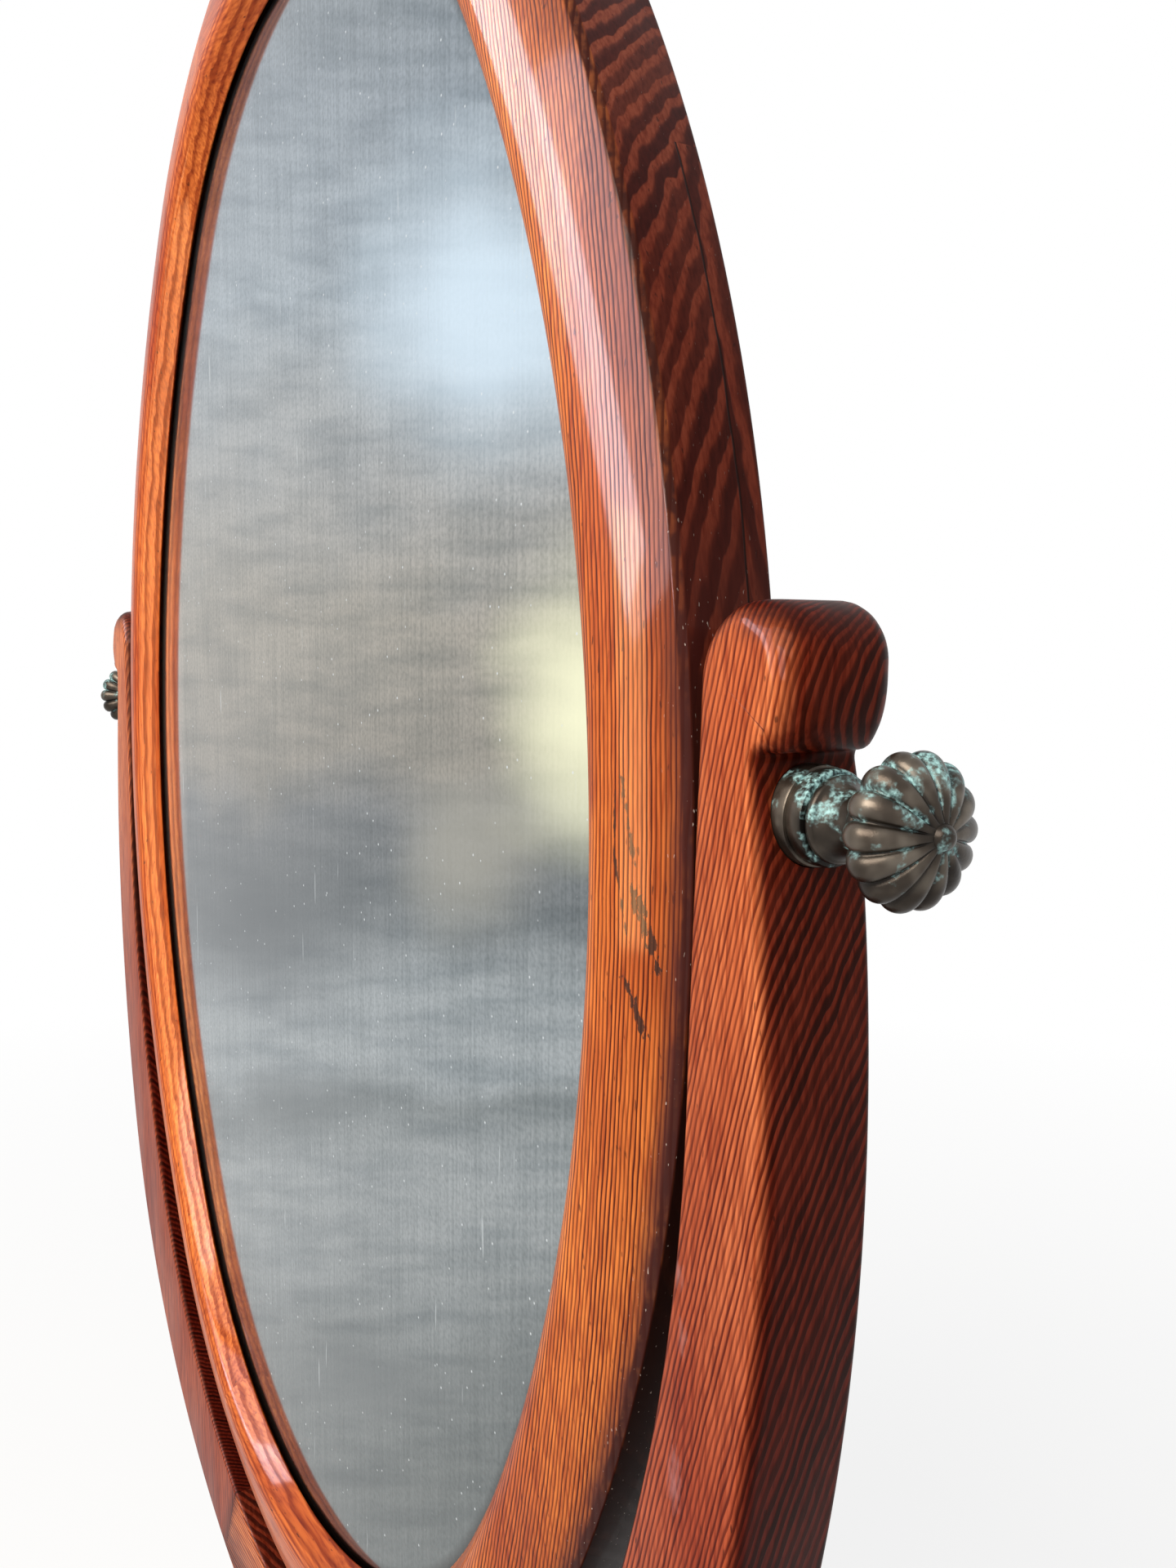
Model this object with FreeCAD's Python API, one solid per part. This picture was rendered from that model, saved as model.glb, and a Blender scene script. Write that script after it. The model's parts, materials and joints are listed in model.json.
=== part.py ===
import FreeCAD, Part
import math
import os

Vector = FreeCAD.Vector

# Shaving mirror: an oval glass in a moulded frame that swings between the arms of a U-shaped yoke.
# Sizes are millimetres. The part stands on z = 0 with its middle on the Z axis, and the glass faces -Y.

# Oval frame, drawn with four arcs; the sight line is the edge of the visible glass
sight_half_width = 149.0
sight_half_height = 220.0
sight_side_radius = 301.0
oval_drop = 16.0
frame_face_width = 34.0
frame_edge_depth = 20.8
crest_rise = 3.8
sight_set_back = 1.6
lip_depth = 0.4
frame_arris_round = 0.8
frame_joint_angle = 60.0
frame_dowel_diameter = 6.0
frame_dowel_length = 36.0
front_dowel_offset = 14.0
front_dowel_set_back = 2.0
back_dowel_offset = 26.0
back_dowel_set_back = 11.0

# Glass, the blocks behind it and the board that closes the back
glass_rebate_width = 8.0
glass_thickness = 3.0
glass_clearance = 1.5
block_width = 5.5
block_depth = 8.0
block_half_angle = 4.0
board_rebate_width = 16.0
board_thickness = 6.0
board_clearance = 0.5
board_screw_diameter = 3.0
board_screw_head_diameter = 6.0
board_screw_length = 16.0

# Yoke
arm_thickness = 23.4
frame_arm_gap = 1.6
arm_bulge_width = 22.4
arm_outer_side_radius = 400.0
inner_side_drop = 45.0
outer_side_drop = 60.0
yoke_swing_clearance = 13.0
bridge_depth = 32.0
bridge_half_angle = 24.0
bridge_pad_length = 48.0
bridge_pad_width = 18.0
bridge_pad_drop = 3.0
yoke_edge_round = 1.3
tongue_length = 44.0
tongue_depth = 16.0
tongue_thickness = 7.0

# Head of each arm
head_rise = 35.0
head_overhang = 7.5
head_underside_rise = 10.5
head_inner_round = 14.0
head_outer_round = 10.0
head_lower_round = 5.5
notch_round = 1.6

# Pivot hardware, the same on both sides
pivot_screw_diameter = 6.0
pivot_screw_reach = 9.0
pivot_plate_height = 32.0
pivot_plate_width = 13.0
pivot_plate_thickness = 3.0
pivot_boss_diameter = 12.0
pivot_boss_length = 7.0
plate_screw_diameter = 2.6
plate_screw_head_diameter = 5.2
plate_screw_length = 13.0
plate_screw_spacing = 22.0
collar_diameter = 17.0
collar_length = 7.5
collar_groove_width = 1.4
collar_groove_depth = 1.1
collar_seat_depth = 1.4
neck_flare_diameter = 14.5
neck_flare_length = 1.6
neck_waist_diameter = 10.0
neck_bead_diameter = 12.0
neck_bead_length = 2.2
neck_length = 9.2
knob_diameter = 25.0
knob_thickness = 13.6
knob_lobes = 14
knob_groove_width = 1.1
knob_groove_depth = 1.3
knob_button_diameter = 4.6
knob_button_rise = 1.5

# Stand below the yoke
column_height = 74.0
column_seat_diameter = 40.0
column_neck_diameter = 22.0
column_belly_diameter = 42.0
column_foot_diameter = 68.0
column_ring_height = 7.0
column_tenon_diameter = 15.0
column_tenon_length = 20.0
column_spigot_diameter = 26.0
column_spigot_length = 14.0
base_diameter = 270.0
base_thickness = 26.0
base_edge_height = 9.0
base_step_diameter = 240.0
base_step_height = 20.0
column_screw_diameter = 5.0
column_screw_head_diameter = 10.0
column_screw_head_height = 3.2
column_screw_length = 38.0
foot_height = 14.0
foot_diameter = 34.0
foot_sole_diameter = 24.0
foot_spigot_diameter = 10.0
foot_spigot_length = 12.0
foot_inset = 27.0

# Clearances
glue_clearance = 0.05
glue_end_clearance = 1.0
running_clearance = 0.08
face_clearance = 0.05
let_in_clearance = 0.2
match_tolerance = 0.01

# Places that follow from the sizes above
base_bottom_z = foot_height
base_top_z = base_bottom_z + base_thickness
column_top_z = base_top_z + column_height
frame_bottom_reach = sight_half_height + frame_face_width + oval_drop
yoke_inner_depth = frame_bottom_reach + yoke_swing_clearance
yoke_outer_depth = yoke_inner_depth + bridge_depth
pivot_z = column_top_z + bridge_pad_drop + yoke_outer_depth
oval_z = pivot_z - oval_drop

frame_front_y = -frame_edge_depth / 2
frame_back_y = frame_edge_depth / 2
crest_y = frame_front_y - crest_rise
sight_y = frame_front_y + sight_set_back
glass_front_y = sight_y + lip_depth
glass_back_y = glass_front_y + glass_thickness
board_front_y = frame_back_y - board_thickness


def blend_radius(side_radius, side_shift, depth):
    """Radius of the arc, centred on the middle line, that runs on from a side arc to a given depth."""
    return (side_radius ** 2 - side_shift ** 2 - depth ** 2) / (2 * (side_radius - depth))


def upright_radius(half_width, rise, end_radius):
    """Radius of a side arc, upright at a half width and a rise above an end arc, that runs on into it."""
    return (half_width ** 2 + rise ** 2 - end_radius ** 2) / (2 * (half_width - end_radius))


sight_side_shift = sight_side_radius - sight_half_width
sight_end_radius = blend_radius(sight_side_radius, sight_side_shift, sight_half_height)
sight_end_height = sight_half_height - sight_end_radius
oval_blend_angle = math.degrees(math.atan2(sight_end_height, sight_side_shift))

frame_side_radius = sight_side_radius + frame_face_width
frame_side_x = frame_side_radius - sight_side_shift


def frame_edge_x(rise):
    """Where the edge of the frame lies at a height above the pivot axis."""
    return math.sqrt(frame_side_radius ** 2 - (rise + oval_drop) ** 2) - sight_side_shift


arm_inner_x = frame_side_x + frame_arm_gap
plate_face_x = frame_edge_x(pivot_plate_height / 2)
plate_back_x = plate_face_x - pivot_plate_thickness
arm_outer_x = arm_inner_x + arm_bulge_width
head_top_z = pivot_z + head_rise
head_underside_z = pivot_z + head_underside_rise

# Arcs that draw the yoke; those of its lower part share one centre
outer_side_centre = Vector(arm_outer_x - arm_outer_side_radius, 0, pivot_z - outer_side_drop)
outer_end_radius = blend_radius(
    arm_outer_side_radius, outer_side_centre.x, yoke_outer_depth - outer_side_drop
)
inner_end_radius = outer_end_radius - bridge_depth
yoke_end_centre = Vector(0, 0, pivot_z - yoke_outer_depth + outer_end_radius)
inner_side_z = pivot_z - inner_side_drop
arm_inner_side_radius = upright_radius(arm_inner_x, inner_side_z - yoke_end_centre.z, inner_end_radius)
inner_side_centre = Vector(arm_inner_x - arm_inner_side_radius, 0, inner_side_z)


def outer_arc_x(z):
    """Outer side of the arm at a height, on its long arc."""
    rise = z - outer_side_centre.z
    return outer_side_centre.x + math.sqrt(arm_outer_side_radius ** 2 - rise ** 2)


collar_seat_x = outer_arc_x(pivot_z) - collar_seat_depth
head_outer_x = outer_arc_x(pivot_z) + head_overhang
neck_x = collar_seat_x + collar_length + 2 * face_clearance
knob_x = neck_x + neck_length + knob_thickness / 2


def polar(centre, radius, degrees):
    """Point on a circle in a plane that faces the front; 0 degrees is +X and 90 is up."""
    angle = math.radians(degrees)
    return centre + Vector(radius * math.cos(angle), 0, radius * math.sin(angle))


def arc_edge(centre, radius, start, end):
    middle = (start + end) / 2
    arc = Part.Arc(
        polar(centre, radius, start), polar(centre, radius, middle), polar(centre, radius, end)
    )
    return arc.toShape()


def heading(start, end):
    """Direction from one point to another in degrees, seen from the front."""
    return math.degrees(math.atan2(end.z - start.z, end.x - start.x))


def cylinder_x(diameter, start_x, end_x, y=0.0, z=0.0):
    return Part.makeCylinder(diameter / 2, end_x - start_x, Vector(start_x, y, z), Vector(1, 0, 0))


def centred_box(length, width, height, centre):
    corner = centre - Vector(length / 2, width / 2, height / 2)
    return Part.makeBox(length, width, height, corner)


def mirror_left(shape):
    return shape.mirror(Vector(0, 0, 0), Vector(1, 0, 0))


def mirror_up(shape):
    """Swap top and bottom about the middle of the oval."""
    return shape.mirror(Vector(0, 0, oval_z), Vector(0, 0, 1))


def turned(points, axis_start, axis):
    """Solid turned about a level axis from points given as (radius, distance along the axis)."""
    up = Vector(0, 0, 1)
    places = [axis_start + up * radius + axis * along for radius, along in points]
    face = Part.Face(Part.makePolygon(places + places[:1]))
    return face.revolve(axis_start, axis, 360)


def countersunk_screw(start, direction, diameter, head_diameter, length):
    """Screw whose flat head lies at the start point, driven along the direction."""
    head = head_diameter / 2
    shank = diameter / 2
    points = [(0, 0), (head, 0), (shank, head - shank), (shank, length), (0, length)]
    return turned(points, start, direction)


# Frame

def frame_section(radius):
    """Section of the moulding on the plane z = 0, for an arc whose centre is the origin."""
    def at(offset, y):
        return Vector(radius + offset, y, 0)

    face_width = frame_face_width
    front = Part.Arc(at(0, sight_y), at(face_width / 2, crest_y), at(face_width, frame_front_y))
    back = Part.makePolygon([
        at(face_width, frame_front_y),
        at(face_width, frame_back_y),
        at(board_rebate_width, frame_back_y),
        at(board_rebate_width, board_front_y),
        at(glass_rebate_width, board_front_y),
        at(glass_rebate_width, glass_front_y),
        at(0, glass_front_y),
        at(0, sight_y),
    ])
    return Part.Face(Part.Wire([front.toShape()] + back.Edges))


def swept_section(section, centre, start, end):
    """Turn a section about the centre of its arc, from one angle to another."""
    turn_axis = Vector(0, -1, 0)
    section.rotate(Vector(0, 0, 0), turn_axis, start)
    section.translate(centre)
    return section.revolve(centre, turn_axis, end - start)


side_centre = Vector(-sight_side_shift, 0, oval_z)
top_centre = Vector(0, 0, oval_z + sight_end_height)


def round_frame_arrises(segment):
    """Soften the front and back edges of the frame's outer rim."""
    radii = (frame_side_radius, sight_end_radius + frame_face_width)
    arrises = []
    for edge in segment.Edges:
        if isinstance(edge.Curve, Part.Circle):
            if min(abs(edge.Curve.Radius - radius) for radius in radii) < match_tolerance:
                arrises.append(edge)
    return segment.makeFillet(frame_arris_round, arrises)


def right_frame_bar():
    side = swept_section(
        frame_section(sight_side_radius), side_centre, -oval_blend_angle, oval_blend_angle
    )
    upper = swept_section(
        frame_section(sight_end_radius), top_centre, oval_blend_angle, frame_joint_angle
    )
    return round_frame_arrises(side.multiFuse([upper, mirror_up(upper)]))


def top_frame_bar():
    bar = swept_section(
        frame_section(sight_end_radius), top_centre, frame_joint_angle, 180 - frame_joint_angle
    )
    return round_frame_arrises(bar)


def frame_dowel(offset, set_back, clearance, end_clearance):
    """One dowel across the upper right joint, along the run of the frame there."""
    along = polar(Vector(0, 0, 0), 1, frame_joint_angle + 90)
    place = polar(top_centre, sight_end_radius + offset, frame_joint_angle)
    half_length = frame_dowel_length / 2 + end_clearance
    start = place + Vector(0, crest_y + set_back + frame_dowel_diameter, 0) - along * half_length
    return Part.makeCylinder(frame_dowel_diameter / 2 + clearance, 2 * half_length, start, along)


def frame_dowels(clearance=0.0, end_clearance=0.0):
    """Two dowels in each of the four joints, or the holes for them."""
    dowels = []
    for offset, set_back in (
        (front_dowel_offset, front_dowel_set_back),
        (back_dowel_offset, back_dowel_set_back),
    ):
        upper_right = frame_dowel(offset, set_back, clearance, end_clearance)
        lower_right = mirror_up(upper_right)
        dowels += [upper_right, lower_right, mirror_left(upper_right), mirror_left(lower_right)]
    return dowels


def pivot_pocket():
    """Room for the right pivot plate, its boss and the end of the screw in the edge of the frame."""
    pocket_width = pivot_plate_width + 2 * let_in_clearance
    pocket_height = pivot_plate_height + 2 * let_in_clearance
    depth = arm_inner_x - plate_back_x
    middle = Vector(plate_back_x + depth / 2, 0, pivot_z)
    pocket = centred_box(depth, pocket_width, pocket_height, middle)
    hole_end_x = plate_back_x - pivot_boss_length - let_in_clearance
    hole = cylinder_x(
        pivot_boss_diameter + 2 * let_in_clearance, hole_end_x, plate_back_x, 0, pivot_z
    )
    return pocket.fuse(hole)


def board_screw_places():
    """Middles of the back board's screws, in the ledge outside the glass."""
    offset = (glass_rebate_width + board_rebate_width) / 2
    places = []
    for angle in (0, oval_blend_angle):
        right = polar(side_centre, sight_side_radius + offset, angle)
        left = Vector(-right.x, 0, right.z)
        places += [right, left]
        if angle:
            places += [Vector(p.x, 0, 2 * oval_z - p.z) for p in (right, left)]
    top = polar(top_centre, sight_end_radius + offset, 90)
    places += [top, Vector(0, 0, 2 * oval_z - top.z)]
    return places


def board_screws(clearance=0.0):
    """Countersunk screws through the back board into the frame, or the holes for them."""
    diameter = board_screw_diameter + 2 * clearance
    head_diameter = board_screw_head_diameter + 2 * clearance
    inward = Vector(0, -1, 0)
    screws = []
    for place in board_screw_places():
        start = Vector(place.x, frame_back_y, place.z)
        screws.append(countersunk_screw(start, inward, diameter, head_diameter, board_screw_length))
    return screws


def plate_screws(clearance=0.0):
    """Wood screws of the right pivot plate, or the holes for them."""
    diameter = plate_screw_diameter + 2 * clearance
    head_diameter = plate_screw_head_diameter + 2 * clearance
    inward = Vector(-1, 0, 0)
    screws = []
    for side in (1, -1):
        start = Vector(plate_face_x, 0, pivot_z + side * plate_screw_spacing / 2)
        screws.append(countersunk_screw(start, inward, diameter, head_diameter, plate_screw_length))
    return screws


def right_frame_segment():
    segment = right_frame_bar().cut(pivot_pocket())
    return segment.cut(frame_dowel_holes + board_screw_holes + plate_screws(glue_clearance))


def top_frame_segment():
    return top_frame_bar().cut(frame_dowel_holes + board_screw_holes)


# Glass and back

def oval_plate(offset, front_y, thickness):
    """Flat oval plate whose rim lies outside the sight line by the offset."""
    left_centre = Vector(sight_side_shift, 0, oval_z)
    bottom_centre = Vector(0, 0, oval_z - sight_end_height)
    side_radius = sight_side_radius + offset
    end_radius = sight_end_radius + offset
    blend = oval_blend_angle
    rim = Part.Wire([
        arc_edge(side_centre, side_radius, -blend, blend),
        arc_edge(top_centre, end_radius, blend, 180 - blend),
        arc_edge(left_centre, side_radius, 180 - blend, 180 + blend),
        arc_edge(bottom_centre, end_radius, 180 + blend, 360 - blend),
    ])
    face = Part.Face(rim)
    face.translate(Vector(0, front_y, 0))
    return face.extrude(Vector(0, thickness, 0))


def mirror_plate():
    return oval_plate(glass_rebate_width - glass_clearance, glass_front_y, glass_thickness)


def back_board():
    board = oval_plate(board_rebate_width - board_clearance, board_front_y, board_thickness)
    return board.cut(board_screw_holes)


def glazing_block(centre, radius, angle):
    """Three-sided block rubbed into the corner between the glass and the wall of the rebate."""
    wall = radius + glass_rebate_width
    corners = [
        Vector(wall, glass_back_y, 0),
        Vector(wall, glass_back_y + block_depth, 0),
        Vector(wall - block_width, glass_back_y, 0),
    ]
    section = Part.Face(Part.makePolygon(corners + corners[:1]))
    return swept_section(section, centre, angle - block_half_angle, angle + block_half_angle)


def glazing_blocks():
    quarter_side = glazing_block(side_centre, sight_side_radius, oval_blend_angle / 2)
    quarter_end = glazing_block(top_centre, sight_end_radius, (oval_blend_angle + 90) / 2)
    blocks = []
    for block in (quarter_side, quarter_end):
        lower = mirror_up(block)
        blocks += [block, lower, mirror_left(block), mirror_left(lower)]
    return blocks


# Yoke

def notch_centre():
    """Middle of the rounding under the head, which touches the underside and the arm's outer arc."""
    z = head_underside_z - notch_round
    reach = arm_outer_side_radius + notch_round
    rise = z - outer_side_centre.z
    return Vector(outer_side_centre.x + math.sqrt(reach ** 2 - rise ** 2), 0, z)


def right_yoke_edges():
    """Outline of the right half of the yoke, from the middle of its inside round to its outside."""
    inner_blend = heading(inner_side_centre, yoke_end_centre)
    outer_blend = heading(outer_side_centre, yoke_end_centre)
    notch = notch_centre()
    notch_heading = heading(outer_side_centre, notch)
    inner_round_centre = Vector(arm_inner_x + head_inner_round, 0, head_top_z - head_inner_round)
    outer_round_centre = Vector(head_outer_x - head_outer_round, 0, head_top_z - head_outer_round)
    lower_round_centre = Vector(head_outer_x - head_lower_round, 0, head_underside_z + head_lower_round)
    arcs = [
        arc_edge(yoke_end_centre, inner_end_radius, -90, inner_blend),
        arc_edge(inner_side_centre, arm_inner_side_radius, inner_blend, 0),
        arc_edge(inner_round_centre, head_inner_round, 180, 90),
        arc_edge(outer_round_centre, head_outer_round, 90, 0),
        arc_edge(lower_round_centre, head_lower_round, 0, -90),
        arc_edge(notch, notch_round, 90, 180 + notch_heading),
        arc_edge(outer_side_centre, arm_outer_side_radius, notch_heading, outer_blend),
        arc_edge(yoke_end_centre, outer_end_radius, outer_blend, -90),
    ]
    edges = [arcs[0]]
    for before, after in zip(arcs, arcs[1:]):
        start = before.Vertexes[-1].Point
        end = after.Vertexes[0].Point
        if start.distanceToPoint(end) > match_tolerance:
            edges.append(Part.makeLine(start, end))
        edges.append(after)
    return edges


def yoke_blank():
    """The whole yoke in one piece, with its long edges rounded."""
    right = right_yoke_edges()
    left = [mirror_left(edge) for edge in right]
    outline = Part.Wire(Part.__sortEdges__(right + left))
    face = Part.Face(outline)
    face.translate(Vector(0, -arm_thickness / 2, 0))
    blank = face.extrude(Vector(0, arm_thickness, 0))
    half = arm_thickness / 2
    rims = [edge for edge in blank.Edges if abs(abs(edge.CenterOfMass.y) - half) < match_tolerance]
    return blank.makeFillet(yoke_edge_round, rims)


def tongue(clearance=0.0, end_clearance=0.0):
    """Loose tongue along the run of the yoke across its right joint, or the slot for it."""
    centre = polar(yoke_end_centre, (inner_end_radius + outer_end_radius) / 2, bridge_half_angle - 90)
    length = tongue_length + 2 * end_clearance
    piece = centred_box(length, tongue_thickness + 2 * clearance, tongue_depth + 2 * clearance, centre)
    piece.rotate(centre, Vector(0, -1, 0), bridge_half_angle)
    return piece


def bridge_zone():
    """Wedge below the centre of the yoke's lower arcs, between its two joints."""
    reach = 2 * outer_end_radius
    corners = [
        yoke_end_centre,
        polar(yoke_end_centre, reach, -90 - bridge_half_angle),
        polar(yoke_end_centre, reach, -90 + bridge_half_angle),
    ]
    wedge = Part.Face(Part.makePolygon(corners + corners[:1]))
    wedge.translate(Vector(0, -arm_thickness, 0))
    return wedge.extrude(Vector(0, 2 * arm_thickness, 0))


def yoke_bridge():
    pad_height = bridge_pad_drop + bridge_depth / 2
    pad_centre = Vector(0, 0, column_top_z + pad_height / 2)
    pad = centred_box(bridge_pad_length, bridge_pad_width, pad_height, pad_centre)
    bridge = blank.common(bridge_zone()).fuse(pad)
    tenon_hole = Part.makeCylinder(
        column_tenon_diameter / 2 + glue_clearance,
        column_tenon_length + glue_end_clearance,
        Vector(0, 0, column_top_z),
    )
    slot = tongue(glue_clearance, glue_end_clearance)
    return bridge.cut([tenon_hole, slot, mirror_left(slot)])


def yoke_right_arm():
    arms = blank.cut(bridge_zone()).Solids
    arm = max(arms, key=lambda solid: solid.CenterOfMass.x)
    seat_diameter = collar_diameter + 2 * let_in_clearance
    seat = cylinder_x(seat_diameter, collar_seat_x, head_outer_x, 0, pivot_z)
    hole_diameter = pivot_screw_diameter + 2 * running_clearance
    hole = cylinder_x(hole_diameter, plate_face_x, collar_seat_x, 0, pivot_z)
    return arm.cut([seat, hole, tongue(glue_clearance, glue_end_clearance)])


# Pivot hardware

def pivot_plate():
    middle = Vector(plate_face_x - pivot_plate_thickness / 2, 0, pivot_z)
    plate = centred_box(pivot_plate_thickness, pivot_plate_width, pivot_plate_height, middle)
    boss = cylinder_x(pivot_boss_diameter, plate_back_x - pivot_boss_length, plate_back_x, 0, pivot_z)
    bore_diameter = pivot_screw_diameter + 2 * running_clearance
    bore = cylinder_x(bore_diameter, plate_back_x - pivot_boss_length, plate_face_x, 0, pivot_z)
    return plate.fuse(boss).cut([bore] + plate_screws(glue_clearance))


def friction_washer():
    outer_x = arm_inner_x - face_clearance
    ring = cylinder_x(pivot_plate_width, plate_face_x, outer_x, 0, pivot_z)
    bore_diameter = pivot_screw_diameter + 2 * running_clearance
    return ring.cut(cylinder_x(bore_diameter, plate_face_x, outer_x, 0, pivot_z))


def collar():
    """Two plain bands with a groove between them."""
    start = Vector(collar_seat_x + face_clearance, 0, pivot_z)
    radius = collar_diameter / 2
    bore = pivot_screw_diameter / 2 + running_clearance
    groove_start = (collar_length - collar_groove_width) / 2
    groove_end = groove_start + collar_groove_width
    points = [
        (bore, 0), (radius, 0), (radius, groove_start),
        (radius - collar_groove_depth, groove_start), (radius - collar_groove_depth, groove_end),
        (radius, groove_end), (radius, collar_length), (bore, collar_length),
    ]
    return turned(points, start, Vector(1, 0, 0))


def knob_meridian(start_radius, end_radius, depth=0.0):
    """Curve of the knob's outside in the plane through its axis, from the neck side to the button side."""
    radius = knob_diameter / 2 - depth
    half_thickness = knob_thickness / 2 - depth
    centre = Vector(knob_x, 0, pivot_z)
    ellipse = Part.Ellipse(centre + Vector(0, 0, radius), centre + Vector(half_thickness, 0, 0), centre)
    return Part.ArcOfEllipse(ellipse, -math.acos(start_radius / radius), math.acos(end_radius / radius))


def neck_profile_edges(rim_start, rim_end):
    """Neck, bore and button, drawn from the knob's outside curve back to it."""
    def at(radius, x):
        return Vector(x, 0, pivot_z + radius)

    flare = neck_flare_diameter / 2
    flare_x = neck_x + neck_flare_length
    bead = neck_bead_diameter / 2
    bead_x = rim_start.x - neck_bead_length
    bore = pivot_screw_diameter / 2 + glue_clearance
    button_end = at(0, knob_x + knob_thickness / 2 + knob_button_rise)
    button_height = button_end.x - rim_end.x
    button_radius = ((knob_button_diameter / 2) ** 2 + button_height ** 2) / (2 * button_height)
    button_centre = button_end - Vector(button_radius, 0, 0)
    button = arc_edge(button_centre, button_radius, heading(button_centre, rim_end), 0)
    inside = Part.makePolygon([
        button_end,
        at(0, knob_x),
        at(bore, knob_x),
        at(bore, neck_x),
        at(flare, neck_x),
        at(flare, flare_x),
    ])
    waist_middle = at(neck_waist_diameter / 2, (flare_x + bead_x) / 2)
    waist = Part.Arc(at(flare, flare_x), waist_middle, at(bead, bead_x))
    ring = Part.makeLine(at(bead, bead_x), rim_start)
    return [button] + inside.Edges + [waist.toShape(), ring]


def knob_groove():
    """Thin blade in the plane of the meridian, whose inner edge is the bottom of one groove.

    It stops short of the button, where the grooves together take up half of the circle.
    """
    def at(radius, x):
        return Vector(x, 0, pivot_z + radius)

    start_radius = neck_bead_diameter / 2 + knob_groove_depth / 2
    end_radius = knob_groove_width * knob_lobes / math.pi
    floor = knob_meridian(start_radius, end_radius, knob_groove_depth)
    clear_radius = knob_diameter
    start = floor.StartPoint
    end = floor.EndPoint
    outside = Part.makePolygon([
        end,
        Vector(knob_x + knob_thickness, 0, end.z),
        at(clear_radius, knob_x + knob_thickness),
        at(clear_radius, knob_x - knob_thickness),
        Vector(knob_x - knob_thickness, 0, start.z),
        start,
    ])
    blade = Part.Face(Part.Wire([floor.toShape()] + outside.Edges))
    blade.translate(Vector(0, -knob_groove_width / 2, 0))
    return blade.extrude(Vector(0, knob_groove_width, 0))


def knob():
    axis_start = Vector(0, 0, pivot_z)
    axis = Vector(1, 0, 0)
    meridian = knob_meridian(neck_bead_diameter / 2, knob_button_diameter / 2)
    edges = [meridian.toShape()] + neck_profile_edges(meridian.StartPoint, meridian.EndPoint)
    solid = Part.Face(Part.Wire(edges)).revolve(axis_start, axis, 360)
    grooves = []
    for index in range(knob_lobes):
        groove = knob_groove()
        groove.rotate(axis_start, axis, 360 * index / knob_lobes)
        grooves.append(groove)
    return solid.cut(grooves)


def pivot_screw():
    start_x = plate_face_x - pivot_screw_reach
    return cylinder_x(pivot_screw_diameter, start_x, knob_x - face_clearance, 0, pivot_z)


# Stand

def column():
    """Turned column: foot, waist, belly, neck and seat, with a tenon above and a spigot below."""
    def at(radius, rise):
        return Vector(radius, 0, base_top_z + rise)

    foot = column_foot_diameter / 2
    neck = column_neck_diameter / 2
    belly = column_belly_diameter / 2
    seat = column_seat_diameter / 2
    tenon = column_tenon_diameter / 2
    spigot = column_spigot_diameter / 2
    ring = column_ring_height
    quarter = math.sin(math.radians(45))
    seat_bottom = column_height - ring
    seat_lip = seat - ring / 2
    cove = (neck + seat_lip) / 2
    neck_rise = seat_bottom - ring
    belly_rise = (ring + seat_bottom) / 2
    waist_rise = (ring + belly_rise) / 2
    curves = [
        (at(foot, 0), at(foot - ring + ring * quarter, ring * quarter), at(foot - ring, ring)),
        (at(foot - ring, ring), at(neck + ring * quarter, (ring + waist_rise) / 2), at(neck, waist_rise)),
        (at(neck, waist_rise), at(belly, belly_rise), at(neck, neck_rise)),
        (at(neck, neck_rise), at(cove, neck_rise + ring * quarter), at(seat_lip, seat_bottom)),
        (at(seat_lip, seat_bottom), at(seat, seat_bottom + ring / 2), at(seat_lip, column_height)),
    ]
    ends = Part.makePolygon([
        at(seat_lip, column_height),
        at(tenon, column_height),
        at(tenon, column_height + column_tenon_length),
        at(0, column_height + column_tenon_length),
        at(0, -column_spigot_length),
        at(spigot, -column_spigot_length),
        at(spigot, 0),
        at(foot, 0),
    ])
    face = Part.Face(Part.Wire([Part.Arc(*points).toShape() for points in curves] + ends.Edges))
    solid = face.revolve(Vector(0, 0, 0), Vector(0, 0, 1), 360)
    return solid.cut(column_screw(glue_clearance))


def column_screw(clearance=0.0):
    """Screw up through the base into the column, or the hole for it."""
    head = Part.makeCylinder(
        column_screw_head_diameter / 2 + clearance, column_screw_head_height, Vector(0, 0, base_bottom_z)
    )
    shank = Part.makeCylinder(
        column_screw_diameter / 2 + clearance, column_screw_length, Vector(0, 0, base_bottom_z)
    )
    return head.fuse(shank)


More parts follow.
